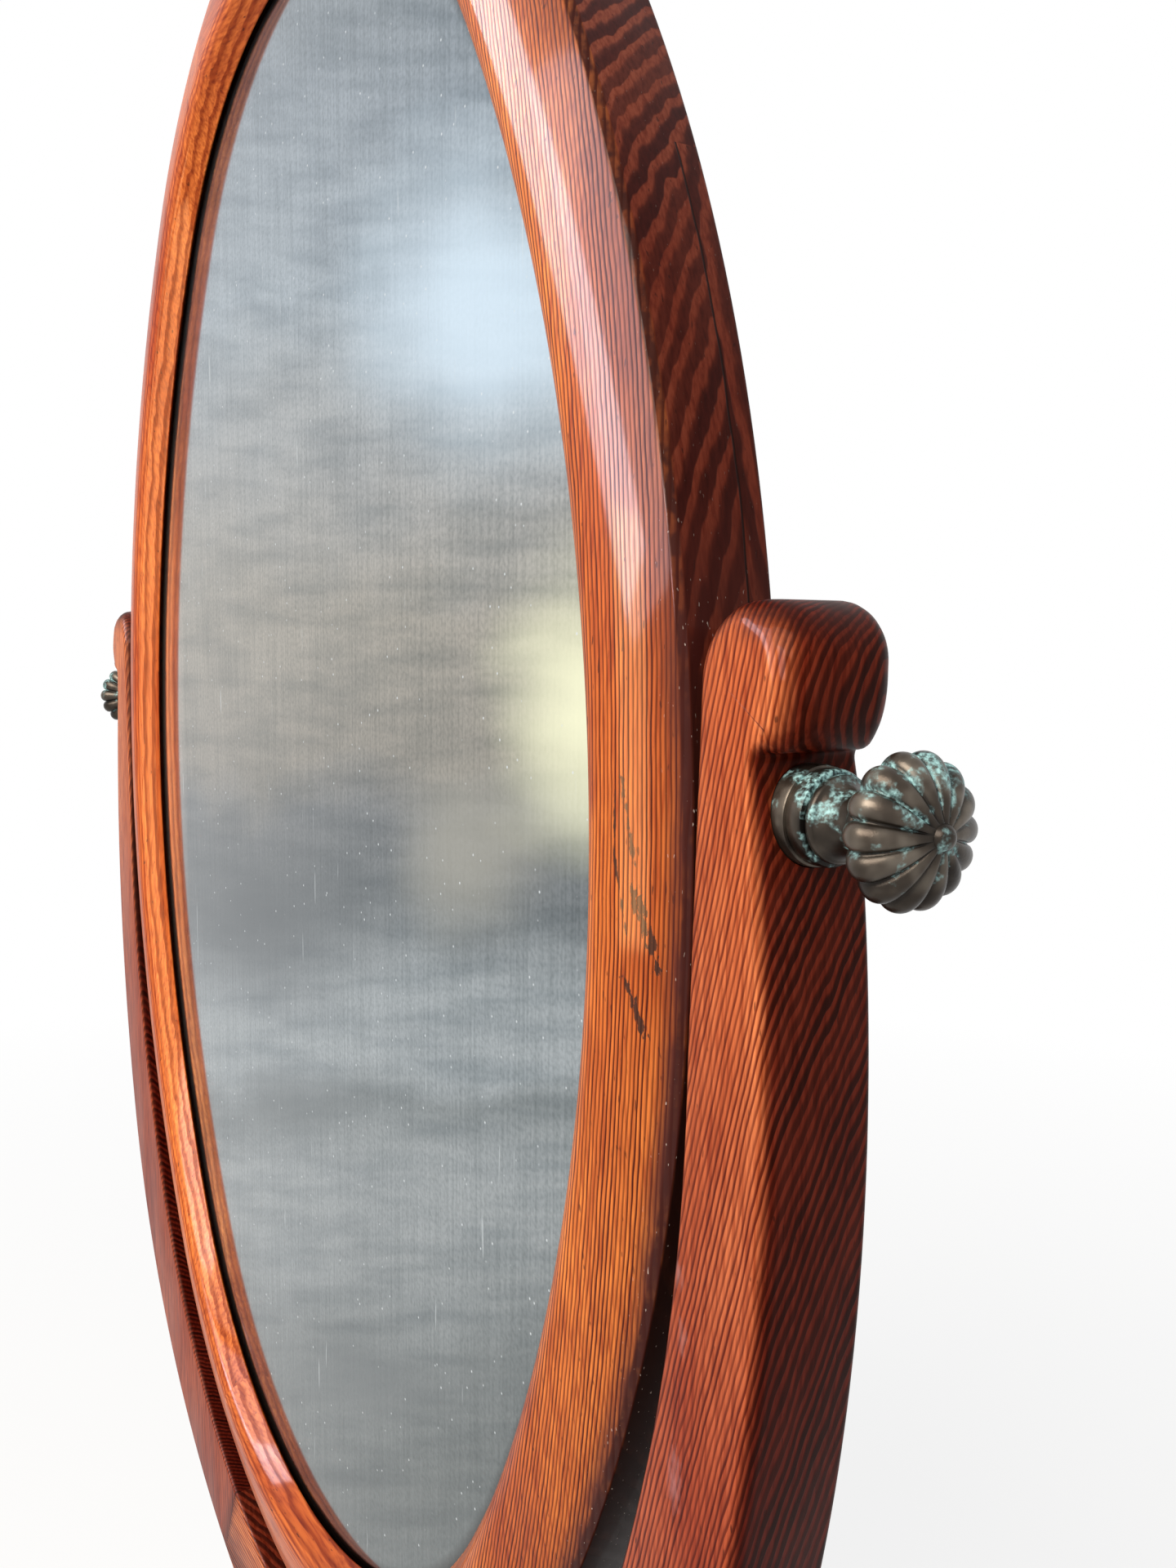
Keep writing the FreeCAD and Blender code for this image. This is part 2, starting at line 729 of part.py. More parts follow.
def base_disc():
    """Round base with a rounded step at its edge and a shallow rise to the column."""
    def at(radius, rise):
        return Vector(radius, 0, base_bottom_z + rise)

    edge = base_diameter / 2
    step = base_step_diameter / 2
    seat = column_foot_diameter / 2
    top_step = (base_thickness - base_step_height) / 3
    quarter = math.sin(math.radians(45))
    round_height = base_step_height - base_edge_height
    ovolo = Part.Arc(
        at(edge, base_edge_height),
        at(step + (edge - step) * quarter, base_edge_height + round_height * quarter),
        at(step, base_step_height),
    )
    lower = Part.makePolygon([at(0, 0), at(edge, 0), at(edge, base_edge_height)])
    upper = Part.makePolygon([
        at(step, base_step_height),
        at(step - top_step, base_step_height + top_step),
        at(seat + top_step, base_thickness),
        at(0, base_thickness),
        at(0, 0),
    ])
    face = Part.Face(Part.Wire(lower.Edges + [ovolo.toShape()] + upper.Edges))
    solid = face.revolve(Vector(0, 0, 0), Vector(0, 0, 1), 360)
    spigot_hole = Part.makeCylinder(
        column_spigot_diameter / 2 + glue_clearance,
        column_spigot_length,
        Vector(0, 0, base_top_z - column_spigot_length),
    )
    foot_holes = []
    for place in foot_places().values():
        foot_holes.append(Part.makeCylinder(
            foot_spigot_diameter / 2 + glue_clearance,
            foot_spigot_length + glue_end_clearance,
            Vector(place.x, place.y, base_bottom_z),
        ))
    return solid.cut([spigot_hole, column_screw(glue_clearance)] + foot_holes)


def foot_places():
    """Middles of the four feet, on the diagonals."""
    reach = (base_diameter / 2 - foot_inset) * math.sin(math.radians(45))
    return {
        "front_right_foot": Vector(reach, -reach, 0),
        "front_left_foot": Vector(-reach, -reach, 0),
        "rear_right_foot": Vector(reach, reach, 0),
        "rear_left_foot": Vector(-reach, reach, 0),
    }


def bun_foot(place):
    def at(radius, z):
        return place + Vector(radius, 0, z)

    sole = foot_sole_diameter / 2
    spigot = foot_spigot_diameter / 2
    top = foot_height + foot_spigot_length
    bulge = Part.Arc(at(sole, 0), at(foot_diameter / 2, foot_height / 2), at(sole, foot_height))
    rest = Part.makePolygon([
        at(sole, foot_height), at(spigot, foot_height), at(spigot, top), at(0, top), at(0, 0), at(sole, 0)
    ])
    face = Part.Face(Part.Wire([bulge.toShape()] + rest.Edges))
    return face.revolve(place, Vector(0, 0, 1), 360)


# Build every piece

frame_dowel_holes = frame_dowels(glue_clearance, glue_end_clearance)
board_screw_holes = board_screws(glue_clearance)
blank = yoke_blank()

nodes = {
    "base_disc": base_disc(),
    "column": column(),
    "column_screw": column_screw(),
    "yoke_bridge": yoke_bridge(),
    "yoke_right_arm": yoke_right_arm(),
    "yoke_tongues": Part.makeCompound([tongue(), mirror_left(tongue())]),
    "frame_right_segment": right_frame_segment(),
    "frame_top_segment": top_frame_segment(),
    "frame_dowels": Part.makeCompound(frame_dowels()),
    "mirror_plate": mirror_plate(),
    "glazing_blocks": Part.makeCompound(glazing_blocks()),
    "back_board": back_board(),
    "back_board_screws": Part.makeCompound(board_screws()),
    "pivot_plate_screws": Part.makeCompound(plate_screws() + [mirror_left(s) for s in plate_screws()]),
    "right_pivot_plate": pivot_plate(),
    "right_friction_washer": friction_washer(),
    "right_collar": collar(),
    "right_knob": knob(),
    "right_pivot_screw": pivot_screw(),
}
for name, place in foot_places().items():
    nodes[name] = bun_foot(place)
for name in [name for name in nodes if "right" in name and "foot" not in name]:
    nodes[name.replace("right", "left")] = mirror_left(nodes[name])
nodes["frame_bottom_segment"] = mirror_up(nodes["frame_top_segment"])

os.makedirs("parts", exist_ok=True)
for name, shape in nodes.items():
    shape.exportStep(os.path.join("parts", name + ".step"))
    print(name, len(shape.Solids), round(shape.Volume), shape.isValid())
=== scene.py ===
# %% [markdown]
# # An oval swing mirror of pitch pine
#
# The mirror hangs between the two arms of a U-shaped yoke and is held by lobed brass knobs.
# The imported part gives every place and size. This lesson puts smooth, well finished pieces over its
# main solids, gives every other solid a material, and lights the whole as in a plain studio.

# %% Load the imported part
import json
import math

import bpy
from mathutils import Matrix, Quaternion, Vector

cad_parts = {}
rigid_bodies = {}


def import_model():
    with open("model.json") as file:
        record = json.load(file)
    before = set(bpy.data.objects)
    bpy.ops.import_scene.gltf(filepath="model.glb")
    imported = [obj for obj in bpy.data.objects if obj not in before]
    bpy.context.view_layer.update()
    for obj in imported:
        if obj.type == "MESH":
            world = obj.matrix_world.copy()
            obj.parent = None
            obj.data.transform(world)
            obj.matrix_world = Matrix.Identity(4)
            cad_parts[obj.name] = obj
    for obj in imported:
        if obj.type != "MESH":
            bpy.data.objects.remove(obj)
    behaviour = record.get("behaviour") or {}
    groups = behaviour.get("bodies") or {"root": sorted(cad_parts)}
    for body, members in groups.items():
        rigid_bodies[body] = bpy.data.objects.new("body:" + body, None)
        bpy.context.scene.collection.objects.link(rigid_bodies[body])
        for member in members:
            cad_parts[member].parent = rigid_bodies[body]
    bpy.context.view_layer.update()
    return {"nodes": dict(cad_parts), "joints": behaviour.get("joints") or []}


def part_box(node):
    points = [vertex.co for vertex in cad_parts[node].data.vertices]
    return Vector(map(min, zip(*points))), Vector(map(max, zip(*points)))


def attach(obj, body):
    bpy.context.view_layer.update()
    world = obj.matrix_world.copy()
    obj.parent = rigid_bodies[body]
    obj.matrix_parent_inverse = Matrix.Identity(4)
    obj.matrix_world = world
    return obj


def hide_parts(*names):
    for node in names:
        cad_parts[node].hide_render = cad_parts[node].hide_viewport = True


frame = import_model()
mm = 0.001

# %% [markdown]
# ## Measures
#
# A maker works from a few driving sizes and reads the rest from the work in front of them.
# Here the boxes of the solids give the outer sizes, and the moulding's width and the radius of the
# oval's long sides, which no box shows, are written down. All lengths are metres.

# %% Measures of the oval
pivot_z = next(joint["pos_m"][2] for joint in frame["joints"] if joint["name"] == "mirror_tilt")
plate_low, plate_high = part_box("mirror_plate")
side_low, side_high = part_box("frame_right_segment")
top_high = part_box("frame_top_segment")[1]
oval_z = (plate_low.z + plate_high.z) / 2

face_width = 34 * mm
lip_thickness = 0.4 * mm
sight_side_radius = 301 * mm
sight_half_width = side_high.x - face_width
sight_half_height = top_high.z - oval_z - face_width
side_shift = sight_side_radius - sight_half_width
end_radius = (sight_side_radius ** 2 - side_shift ** 2 - sight_half_height ** 2) / (
    2 * (sight_side_radius - sight_half_height)
)
end_rise = sight_half_height - end_radius
blend_angle = math.atan2(end_rise, side_shift)
joint_angle = math.radians(60)

crest_y = side_low.y
back_y = side_high.y
front_y = -back_y
glass_y = plate_low.y
sight_y = glass_y - lip_thickness
board_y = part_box("back_board")[0].y
print("glass in view", round(2 * sight_half_width, 3), "by", round(2 * sight_half_height, 3))

# %% [markdown]
# ## Helpers at the bench
#
# Most pieces here are either swept along an arc or turned on a lathe. In Blender both start with a
# line: a small plane is merged to one vertex, and the vertex is extruded from point to point.
# Spin then sweeps the line. Spin turns the other way from the right-hand rule, so its axis is
# given the other way round. Everything is deselected first, because operators act on all that is selected.

# %% Lines, rings and shells
weld_reach = 0.002 * mm


def deselect():
    bpy.ops.object.select_all(action="DESELECT")


def pick(piece):
    """Select one piece alone, and make it the active one."""
    deselect()
    piece.select_set(True)
    bpy.context.view_layer.objects.active = piece


def trace(name, points):
    """Draw a line through points by extruding one vertex, and stay in edit mode."""
    deselect()
    bpy.ops.mesh.primitive_plane_add(size=mm, location=points[0])
    piece = bpy.context.object
    piece.name = name
    piece.data.name = name
    bpy.ops.object.transform_apply(location=True, rotation=True, scale=True)
    bpy.ops.object.mode_set(mode="EDIT")
    bpy.ops.mesh.merge(type="CENTER")
    for start, end in zip(points, points[1:]):
        step = Vector(end) - Vector(start)
        bpy.ops.mesh.extrude_region_move(TRANSFORM_OT_translate={"value": step})
    bpy.ops.mesh.select_all(action="SELECT")
    return piece


def stack_rings(piece, first, count):
    """Close a traced line, extrude it into a stack of rings, and tell the ring and point of each vertex."""
    bpy.ops.mesh.remove_doubles(threshold=weld_reach)
    for ring in range(count - 1):
        bpy.ops.mesh.extrude_region_move(TRANSFORM_OT_translate={"value": (0, mm, 0)})
    bpy.ops.object.mode_set(mode="OBJECT")
    stack = []
    for vertex in piece.data.vertices:
        ring = round((vertex.co.y - first[0][1]) / mm)
        below = (vertex.co.x, first[0][1], vertex.co.z)
        stack.append((ring, min(range(len(first)), key=lambda step: math.dist(first[step], below))))
    return stack


def close_shell(piece, smooth_angle=35):
    """Merge doubles, cap open ends, point the faces outwards and leave edit mode."""
    bpy.ops.mesh.select_all(action="SELECT")
    bpy.ops.mesh.remove_doubles(threshold=weld_reach)
    bpy.ops.mesh.fill_holes(sides=0)
    bpy.ops.mesh.select_all(action="SELECT")
    bpy.ops.mesh.normals_make_consistent(inside=False)
    bpy.ops.object.mode_set(mode="OBJECT")
    bpy.ops.object.shade_smooth_by_angle(angle=math.radians(smooth_angle))
    return piece


print("points are welded within", weld_reach, "m")


# %% Copies, cuts and places
def flipped_copy(piece, name, scale, centre=(0, 0, 0)):
    """Copy a piece with its own mesh, flipped about a centre."""
    pick(piece)
    bpy.ops.object.duplicate(linked=False)
    copy = bpy.context.object
    copy.name = name
    copy.data.name = name
    bpy.ops.object.mode_set(mode="EDIT")
    bpy.ops.mesh.select_all(action="SELECT")
    bpy.ops.transform.resize(value=scale, center_override=centre)
    bpy.ops.mesh.normals_make_consistent(inside=False)
    bpy.ops.object.mode_set(mode="OBJECT")
    return copy


def apply_modifier(piece, kind, **settings):
    """Add a modifier with its settings and apply it at once."""
    pick(piece)
    modifier = piece.modifiers.new(kind.lower(), kind)
    for name, value in settings.items():
        setattr(modifier, name, value)
    bpy.ops.object.modifier_apply(modifier=modifier.name)


def block(place, size):
    """A box of three sizes about a place, to cut with or to ease."""
    deselect()
    bpy.ops.mesh.primitive_cube_add(size=1, location=place)
    piece = bpy.context.object
    piece.scale = size
    bpy.ops.object.transform_apply(location=True, rotation=True, scale=True)
    return piece


def cut_away(piece, cutter):
    """Cut a piece with another shape, and throw the cutter away."""
    apply_modifier(piece, "BOOLEAN", operation="DIFFERENCE", solver="EXACT", object=cutter)
    bpy.data.objects.remove(cutter)


def store(piece, name, value_at):
    """Keep a number at each vertex, which a material can read as an attribute."""
    attribute = piece.data.attributes.new(name, "FLOAT", "POINT")
    for vertex, item in zip(piece.data.vertices, attribute.data):
        item.value = value_at(vertex)


def set_in(piece, body, slot, *nodes):
    """Put a finished piece in the place of CAD nodes, on the body that carries it."""
    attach(piece, body)
    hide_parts(*nodes)
    print(piece.name, len(piece.data.polygons), "faces on", body)


print("pieces can be copied, cut and set in")


# %% Even steps, ramps and arcs
def evenly(start, end, steps):
    """Numbers from start to end in even steps."""
    return [start + (end - start) * step / steps for step in range(steps + 1)]


def ramp(low, high, value):
    """0 below low, 1 above high, and a straight rise between them."""
    return min(1, max(0, (value - low) / (high - low)))


def arc(centre, radius, start, end, steps):
    """Points (x, z) on a circle, from one angle to another in degrees."""
    turns = [math.radians(angle) for angle in evenly(start, end, steps)]
    return [(centre[0] + radius * math.cos(turn), centre[1] + radius * math.sin(turn)) for turn in turns]


print("bench ready")

# %% [markdown]
# ## The moulded frame
#
# The real frame is four sawn segments of pine, dowelled end to end, with one moulding run round them:
# a slope up from the glass, a round nose, a nearly flat face with a narrow facet along its outer arris, a
# plain edge, and two steps at the back for the glass and the back board. It could be an oval curve with a
# bevel profile, but a curve blurs the four true arcs of the oval. So the section is traced once at a joint
# and spun about the centre of each arc in turn, which is how a moulding plane follows the wood.

# %% The section of the moulding
lip_offset = 3.2 * mm
nose_offset = 12.5 * mm
nose_radius = 7 * mm
nose_rise = 1.5 * mm
nose_end = math.radians(8)
nose_steps = 14
face_steps = 18
arris_facet = 1.2 * mm
facet_round = 1 * mm
edge_round = 0.9 * mm
lip_round = 0.15 * mm
corner_steps = 4
glass_rebate = 8 * mm
board_rebate = 16 * mm


def softened(corners):
    """Corners (offset, y, radius) of a closed outline, each replaced by a short arc of that radius."""
    points = []
    count = len(corners)
    for index, (offset, y, radius) in enumerate(corners):
        here = Vector((offset, y))
        before = (Vector(corners[index - 1][:2]) - here).normalized()
        after = (Vector(corners[(index + 1) % count][:2]) - here).normalized()
        if radius == 0:
            points.append(here)
            continue
        reach = radius / math.tan(before.angle(after) / 2)
        for share in evenly(0, 1, corner_steps):
            start = here + before * reach * (1 - share)
            end = here + after * reach * share
            points.append(start + (end - start) * share)
    return points


def rounded(centre, radius, start, end, steps):
    """Points on a round front that leans from one angle to another, measured from straight ahead."""
    leans = evenly(start, end, steps)
    return [(centre.x + radius * math.sin(lean), centre.y - radius * math.cos(lean), 0) for lean in leans]


def moulding_section():
    """Closed outline as (offset from the sight line, y): slope, nose, face, facet, edge and steps."""
    lip = Vector((lip_offset, sight_y))
    nose = Vector((nose_offset, crest_y - nose_rise + nose_radius))
    reach = nose - lip
    nose_start = math.atan2(reach.y, reach.x) - math.asin(nose_radius / reach.length)
    inwards = Vector((-math.sin(nose_end), math.cos(nose_end)))
    face_start = nose - inwards * nose_radius
    chord = Vector((face_width, front_y)) - face_start
    face_radius = chord.length_squared / (2 * inwards.dot(chord))
    face_centre = face_start + inwards * face_radius
    face_end = math.asin((face_width - face_centre.x) / face_radius) - arris_facet / face_radius
    corners = [(lip.x, lip.y, lip_round)]
    corners += rounded(nose, nose_radius, nose_start, nose_end, nose_steps)
    corners += rounded(face_centre, face_radius, nose_end, face_end, face_steps)[1:]
    corners[-1] = corners[-1][:2] + (facet_round,)
    corners += [
        (face_width, front_y + arris_facet, facet_round),
        (face_width, back_y, edge_round),
        (board_rebate, back_y, 0),
        (board_rebate, board_y, 0),
        (glass_rebate, board_y, 0),
        (glass_rebate, glass_y, 0),
        (lip_offset, glass_y, lip_round),
    ]
    return softened(corners)


section = moulding_section()
print("moulding section of", len(section), "points, crest at", round(min(y for _, y in section), 4))

# %% Sweep the segments
side_centre = Vector((-side_shift, 0, oval_z))
top_centre = Vector((0, 0, oval_z + end_rise))
bottom_centre = Vector((0, 0, oval_z - end_rise))
arc_steps_per_radian = 60
fewest_arc_steps = 8
outer_share = 0.6
facet_from_y = front_y - 0.5 * mm
facet_to_y = front_y - 0.25 * mm
edge_from_y = front_y + 1.0 * mm
edge_to_y = front_y + 1.5 * mm


def section_at(centre, radius, angle):
    """The section as points in space, standing on an arc at an angle, closed on its first point."""
    outward = Vector((math.cos(angle), 0, math.sin(angle)))
    points = [centre + outward * (radius + offset) + Vector((0, y, 0)) for offset, y in section]
    return points + points[:1]


def sweep(centre, start, end):
    """Spin the section on from one angle to the next."""
    steps = max(fewest_arc_steps, round((end - start) * arc_steps_per_radian))
    bpy.ops.mesh.spin(steps=steps, angle=end - start, center=centre, axis=(0, 1, 0))


def offset_from_sight(point):
    """How far a point lies outside the sight line, whichever arc it belongs to."""
    x = abs(point.x)
    z = abs(point.z - oval_z)
    if math.atan2(z, x + side_shift) < blend_angle:
        return math.hypot(x + side_shift, z) - sight_side_radius
    return math.hypot(x, z - end_rise) - end_radius


def mark_frame(piece):
    """Keep how far across the moulding each vertex is, and which lie on the facet, the edge or the back."""
    def across(vertex):
        return offset_from_sight(vertex.co) / face_width

    def on_edge(vertex):
        return ramp(edge_from_y, edge_to_y, vertex.co.y) if across(vertex) > outer_share else 0

    def on_facet(vertex):
        past_front = ramp(facet_from_y, facet_to_y, vertex.co.y) if across(vertex) > outer_share else 0
        return past_front - on_edge(vertex)

    store(piece, "across", across)
    store(piece, "patina", on_edge)
    store(piece, "facet", on_facet)


right_segment = trace("pine_frame_right", section_at(bottom_centre, end_radius, -joint_angle))
sweep(bottom_centre, -joint_angle, -blend_angle)
sweep(side_centre, -blend_angle, blend_angle)
sweep(top_centre, blend_angle, joint_angle)
close_shell(right_segment)

top_segment = trace("pine_frame_top", section_at(top_centre, end_radius, joint_angle))
sweep(top_centre, joint_angle, math.pi - joint_angle)
close_shell(top_segment)
print("right and top segments swept with", arc_steps_per_radian, "steps to a radian")

# %% Let in the pivot plate and copy the segments
plate_hole_low, plate_hole_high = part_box("right_pivot_plate")
pocket_depth = 3 * mm
pocket_gap = 0.2 * mm
pocket_size = (
    2 * (side_high.x - plate_hole_high.x + pocket_depth),
    plate_hole_high.y - plate_hole_low.y + 2 * pocket_gap,
    plate_hole_high.z - plate_hole_low.z + 2 * pocket_gap,
)
cut_away(right_segment, block((side_high.x, 0, pivot_z), pocket_size))

left_segment = flipped_copy(right_segment, "pine_frame_left", (-1, 1, 1))
bottom_segment = flipped_copy(top_segment, "pine_frame_bottom", (1, 1, -1), (0, 0, oval_z))
for segment, side in (
    (right_segment, "right"), (left_segment, "left"), (top_segment, "top"), (bottom_segment, "bottom"),
):
    mark_frame(segment)
    set_in(segment, "mirror", "pine", "frame_" + side + "_segment")

# %% [markdown]
# ## The glass
#
# The plate is a flat oval that fills the rebate, a little wider than the glass in view. It is silvered on its
# back, and looked at through the glass the silver seems to lie about a millimetre behind the front, which
# leaves a dark gap beside the frame. So only the silver is made, at the depth where it seems to be. A disc
# would do for its shape, but it ages from the rim inwards. So it is built of rings, like a tree, and each
# vertex keeps how far inside the sight line it lies, which the material reads.

# %% Glass plate
rim_offset = 6.5 * mm
# How far inside the sight line the silver is black and clean. The black lies outside it, so it is negative
rim_black = -2 * mm
rim_clean = 1.5 * mm
middle_offset = -15 * mm
front_shares = (0.02, 0.35, 0.7, 1)
back_shares = (1, 0.5, 0.02)
oval_steps = 40
glass_edge_round = 0.3 * mm
glass_back_y = plate_high.y
silver_depth = 1.15 * mm
silver_y = glass_y + silver_depth


def oval(offset):
    """Points (x, z) round an oval that lies outside the sight line by an offset."""
    half_turn = 180
    blend = math.degrees(blend_angle)
    arcs = [
        ((-side_shift, oval_z), sight_side_radius, -blend, blend),
        ((0, oval_z + end_rise), end_radius, blend, half_turn - blend),
        ((side_shift, oval_z), sight_side_radius, half_turn - blend, half_turn + blend),
        ((0, oval_z - end_rise), end_radius, half_turn + blend, 2 * half_turn - blend),
    ]
    points = []
    for centre, radius, start, end in arcs:
        points += arc(centre, radius + offset, start, end, oval_steps)[:-1]
    return points


def glass_plate():
    """Rings from the middle of the front, over the rim, to the back, capped at both ends."""
    eased_offset = rim_offset - glass_edge_round
    rings = [(middle_offset, silver_y, share) for share in front_shares]
    rings += [(offset, silver_y, 1) for offset in (-rim_clean, 0, -rim_black, eased_offset)]
    rings += [(rim_offset, y, 1) for y in (silver_y + glass_edge_round, glass_back_y - glass_edge_round)]
    rings += [(eased_offset, glass_back_y, 1)]
    rings += [(middle_offset, glass_back_y, share) for share in back_shares]
    first = [(x, silver_y, z) for x, z in oval(middle_offset)]
    piece = trace("glass_plate", first + first[:1])
    for vertex, (ring, step) in zip(piece.data.vertices, stack_rings(piece, first, len(rings))):
        offset, y, share = rings[ring]
        x, z = oval(offset)[step]
        vertex.co = (x * share, y, oval_z + (z - oval_z) * share)
    bpy.ops.object.mode_set(mode="EDIT")
    return close_shell(piece)


glass = glass_plate()
store(glass, "inside", lambda vertex: -offset_from_sight(vertex.co))
set_in(glass, "mirror", "silvered_glass", "mirror_plate")

# %% [markdown]
# ## The arms and bridge of the yoke
#
# Each arm is sawn from an inch board to a curved outline and its edges are eased by hand: hardly at
# all on the inside, well round on the outer front edge, and most on the head, which hands have
# rubbed for a century. A bevel could do the easing, but it folds where its width changes. So the outline is
# traced, extruded in rings from front to back, and each ring near a face is drawn in along a quarter circle.

# %% Outline of an arm
arm_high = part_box("yoke_right_arm")[1]
collar_low, collar_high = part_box("right_collar")
bridge_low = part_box("yoke_bridge")[0]
arm_half = arm_high.y
head_outer_x = arm_high.x
head_top_z = arm_high.z
frame_gap = 1.6 * mm
arm_thickness = 22.4 * mm
arm_inner_x = side_high.x + frame_gap
arm_outer_x = arm_inner_x + arm_thickness
outer_side_radius = 400 * mm
outer_side_z = pivot_z - 60 * mm
inner_side_z = pivot_z - 45 * mm
bridge_depth = 32 * mm
bridge_half_angle = 24
pad_drop = 3 * mm
yoke_bottom_z = bridge_low.z + pad_drop
head_underside_z = pivot_z + 10.5 * mm
head_inner_round = 14 * mm
head_outer_round = 10 * mm
head_lower_reach = 6 * mm
head_lower_rise = 12 * mm
notch_round = 1.6 * mm
# The rounding of each edge, in front and behind
inner_ease = (1.6 * mm, 1.6 * mm)
outer_ease = (3 * mm, 1.6 * mm)
notch_ease = (1.4 * mm, 1.4 * mm)
head_inner_ease = (4.6 * mm, 4.2 * mm)
head_outer_ease = (7 * mm, 5 * mm)
head_end_ease = (5 * mm, 5 * mm)
same_point = 0.01 * mm

outer_side_x = arm_outer_x - outer_side_radius
outer_depth = outer_side_z - yoke_bottom_z
outer_end_radius = (outer_side_radius ** 2 - outer_side_x ** 2 - outer_depth ** 2) / (
    2 * (outer_side_radius - outer_depth)
)
inner_end_radius = outer_end_radius - bridge_depth
yoke_end = (0, yoke_bottom_z + outer_end_radius)
inner_rise = inner_side_z - yoke_end[1]
inner_side_radius = (arm_inner_x ** 2 + inner_rise ** 2 - inner_end_radius ** 2) / (
    2 * (arm_inner_x - inner_end_radius)
)
inner_side = (arm_inner_x - inner_side_radius, inner_side_z)
outer_side = (outer_side_x, outer_side_z)


def heading(start, end):
    """Direction from one flat point to another, in degrees."""
    return math.degrees(math.atan2(end[1] - start[1], end[0] - start[0]))


def arm_outline():
    """Runs of points (x, z) round the right arm, each with the rounding of its front and back rims."""
    notch_z = head_underside_z - notch_round
    notch_reach = outer_side_radius + notch_round
    notch = (outer_side_x + math.sqrt(notch_reach ** 2 - (notch_z - outer_side_z) ** 2), notch_z)
    inner_blend = heading(inner_side, yoke_end)
    outer_blend = heading(outer_side, yoke_end)
    notch_heading = heading(outer_side, notch)
    joint = bridge_half_angle - 90
    inner_round = (arm_inner_x + head_inner_round, head_top_z - head_inner_round)
    outer_round = (head_outer_x - head_outer_round, head_top_z - head_outer_round)
    lower_centre = (head_outer_x - head_lower_reach, head_underside_z + head_lower_rise)
    swell = head_lower_reach / head_lower_rise
    head_end = [
        (lower_centre[0] + (x - lower_centre[0]) * swell, z)
        for x, z in arc(lower_centre, head_lower_rise, 0, -90, steps=16)
    ]
    return [
        (arc(yoke_end, inner_end_radius, joint, inner_blend, steps=24), inner_ease),
        (arc(inner_side, inner_side_radius, inner_blend, 0, steps=28), inner_ease),
        (arc(inner_round, head_inner_round, 180, 90, steps=18), head_inner_ease),
        (arc(outer_round, head_outer_round, 90, 0, steps=18), head_outer_ease),
        (head_end, head_end_ease),
        (arc(notch, notch_round, 90, 180 + notch_heading, steps=6), notch_ease),
        (arc(outer_side, outer_side_radius, notch_heading, outer_blend, steps=44), outer_ease),
        (arc(yoke_end, outer_end_radius, outer_blend, joint, steps=24), outer_ease),
    ]


outline = []
rounding = []
for run, ease in arm_outline():
    for point in run:
        if not outline or math.dist(point, outline[-1]) > same_point:
            outline.append(point)
            rounding.append(ease)
print("arm outline of", len(outline), "points")

# %% Extrude and ease the arm
ease_reach = 6 * mm
rim_steps = 6


def eased(points, rounds, index, side):
    """Mean rounding near a point, so that one rounding runs smoothly into the next."""
    total = 0
    weight_sum = 0
    for point, pair in zip(points, rounds):
        weight = max(0, 1 - math.dist(point, points[index]) / ease_reach)
        total += weight * pair[side]
        weight_sum += weight
    return total / weight_sum


def eased_board(name, points, rounds, half):
    """Trace an outline, extrude it ring by ring from front to back, and draw the outer rings in."""
    places = [(x, -half, z) for x, z in points]
    piece = trace(name, places + places[:1])
    rings = 2 * rim_steps + 2
    for vertex, (ring, index) in zip(piece.data.vertices, stack_rings(piece, places, rings)):
        x, z = points[index]
        before = Vector(points[max(0, index - 1)])
        after = Vector(points[min(len(points) - 1, index + 1)])
        run = (after - before).normalized()
        inwards = Vector((run.y, 0, -run.x))
        side = 0 if ring <= rim_steps else 1
        rim_step = ring if side == 0 else rings - 1 - ring
        turn = math.radians(90) * rim_step / rim_steps
        radius = eased(points, rounds, index, side)
        depth = half - radius * (1 - math.cos(turn))
        vertex.co = Vector((x, -depth if side == 0 else depth, z)) + inwards * radius * (1 - math.sin(turn))
    bpy.ops.object.mode_set(mode="EDIT")
    return close_shell(piece, smooth_angle=40)


right_arm = eased_board("pine_arm_right", outline, rounding, arm_half)
print("arm eased within", ease_reach, "m of each point")

# %% Bore the arm and copy it
screw_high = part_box("right_pivot_screw")[1]
seat_gap = 0.2 * mm
screw_gap = 0.08 * mm
bore_overshoot = 10 * mm
bore_steps = 64
front_lean = 0.25
side_lean = 0.85


def bore(piece, radius, start_x, end_x):
    """Cut a level hole along the pivot axis."""
    deselect()
    bpy.ops.mesh.primitive_cylinder_add(
        vertices=bore_steps, radius=radius, depth=end_x - start_x,
        location=((start_x + end_x) / 2, 0, pivot_z), rotation=(0, math.pi / 2, 0),
    )
    cutter = bpy.context.object
    bpy.ops.object.transform_apply(location=True, rotation=True, scale=True)
    cut_away(piece, cutter)


def sideways(vertex):
    """0 where a surface faces the front or the back, and 1 on the sides, which nobody wiped."""
    return ramp(front_lean, side_lean, math.hypot(vertex.normal.x, vertex.normal.z))


bore(right_arm, collar_high.y + seat_gap, collar_low.x, collar_high.x)
bore(right_arm, screw_high.y + screw_gap, arm_inner_x - bore_overshoot, screw_high.x)

left_arm = flipped_copy(right_arm, "pine_arm_left", (-1, 1, 1))
for arm in (right_arm, left_arm):
    store(arm, "patina", sideways)
    store(arm, "beyond", lambda vertex: offset_from_sight(vertex.co))
set_in(right_arm, "stand", "pine", "yoke_right_arm")
set_in(left_arm, "stand", "pine", "yoke_left_arm")

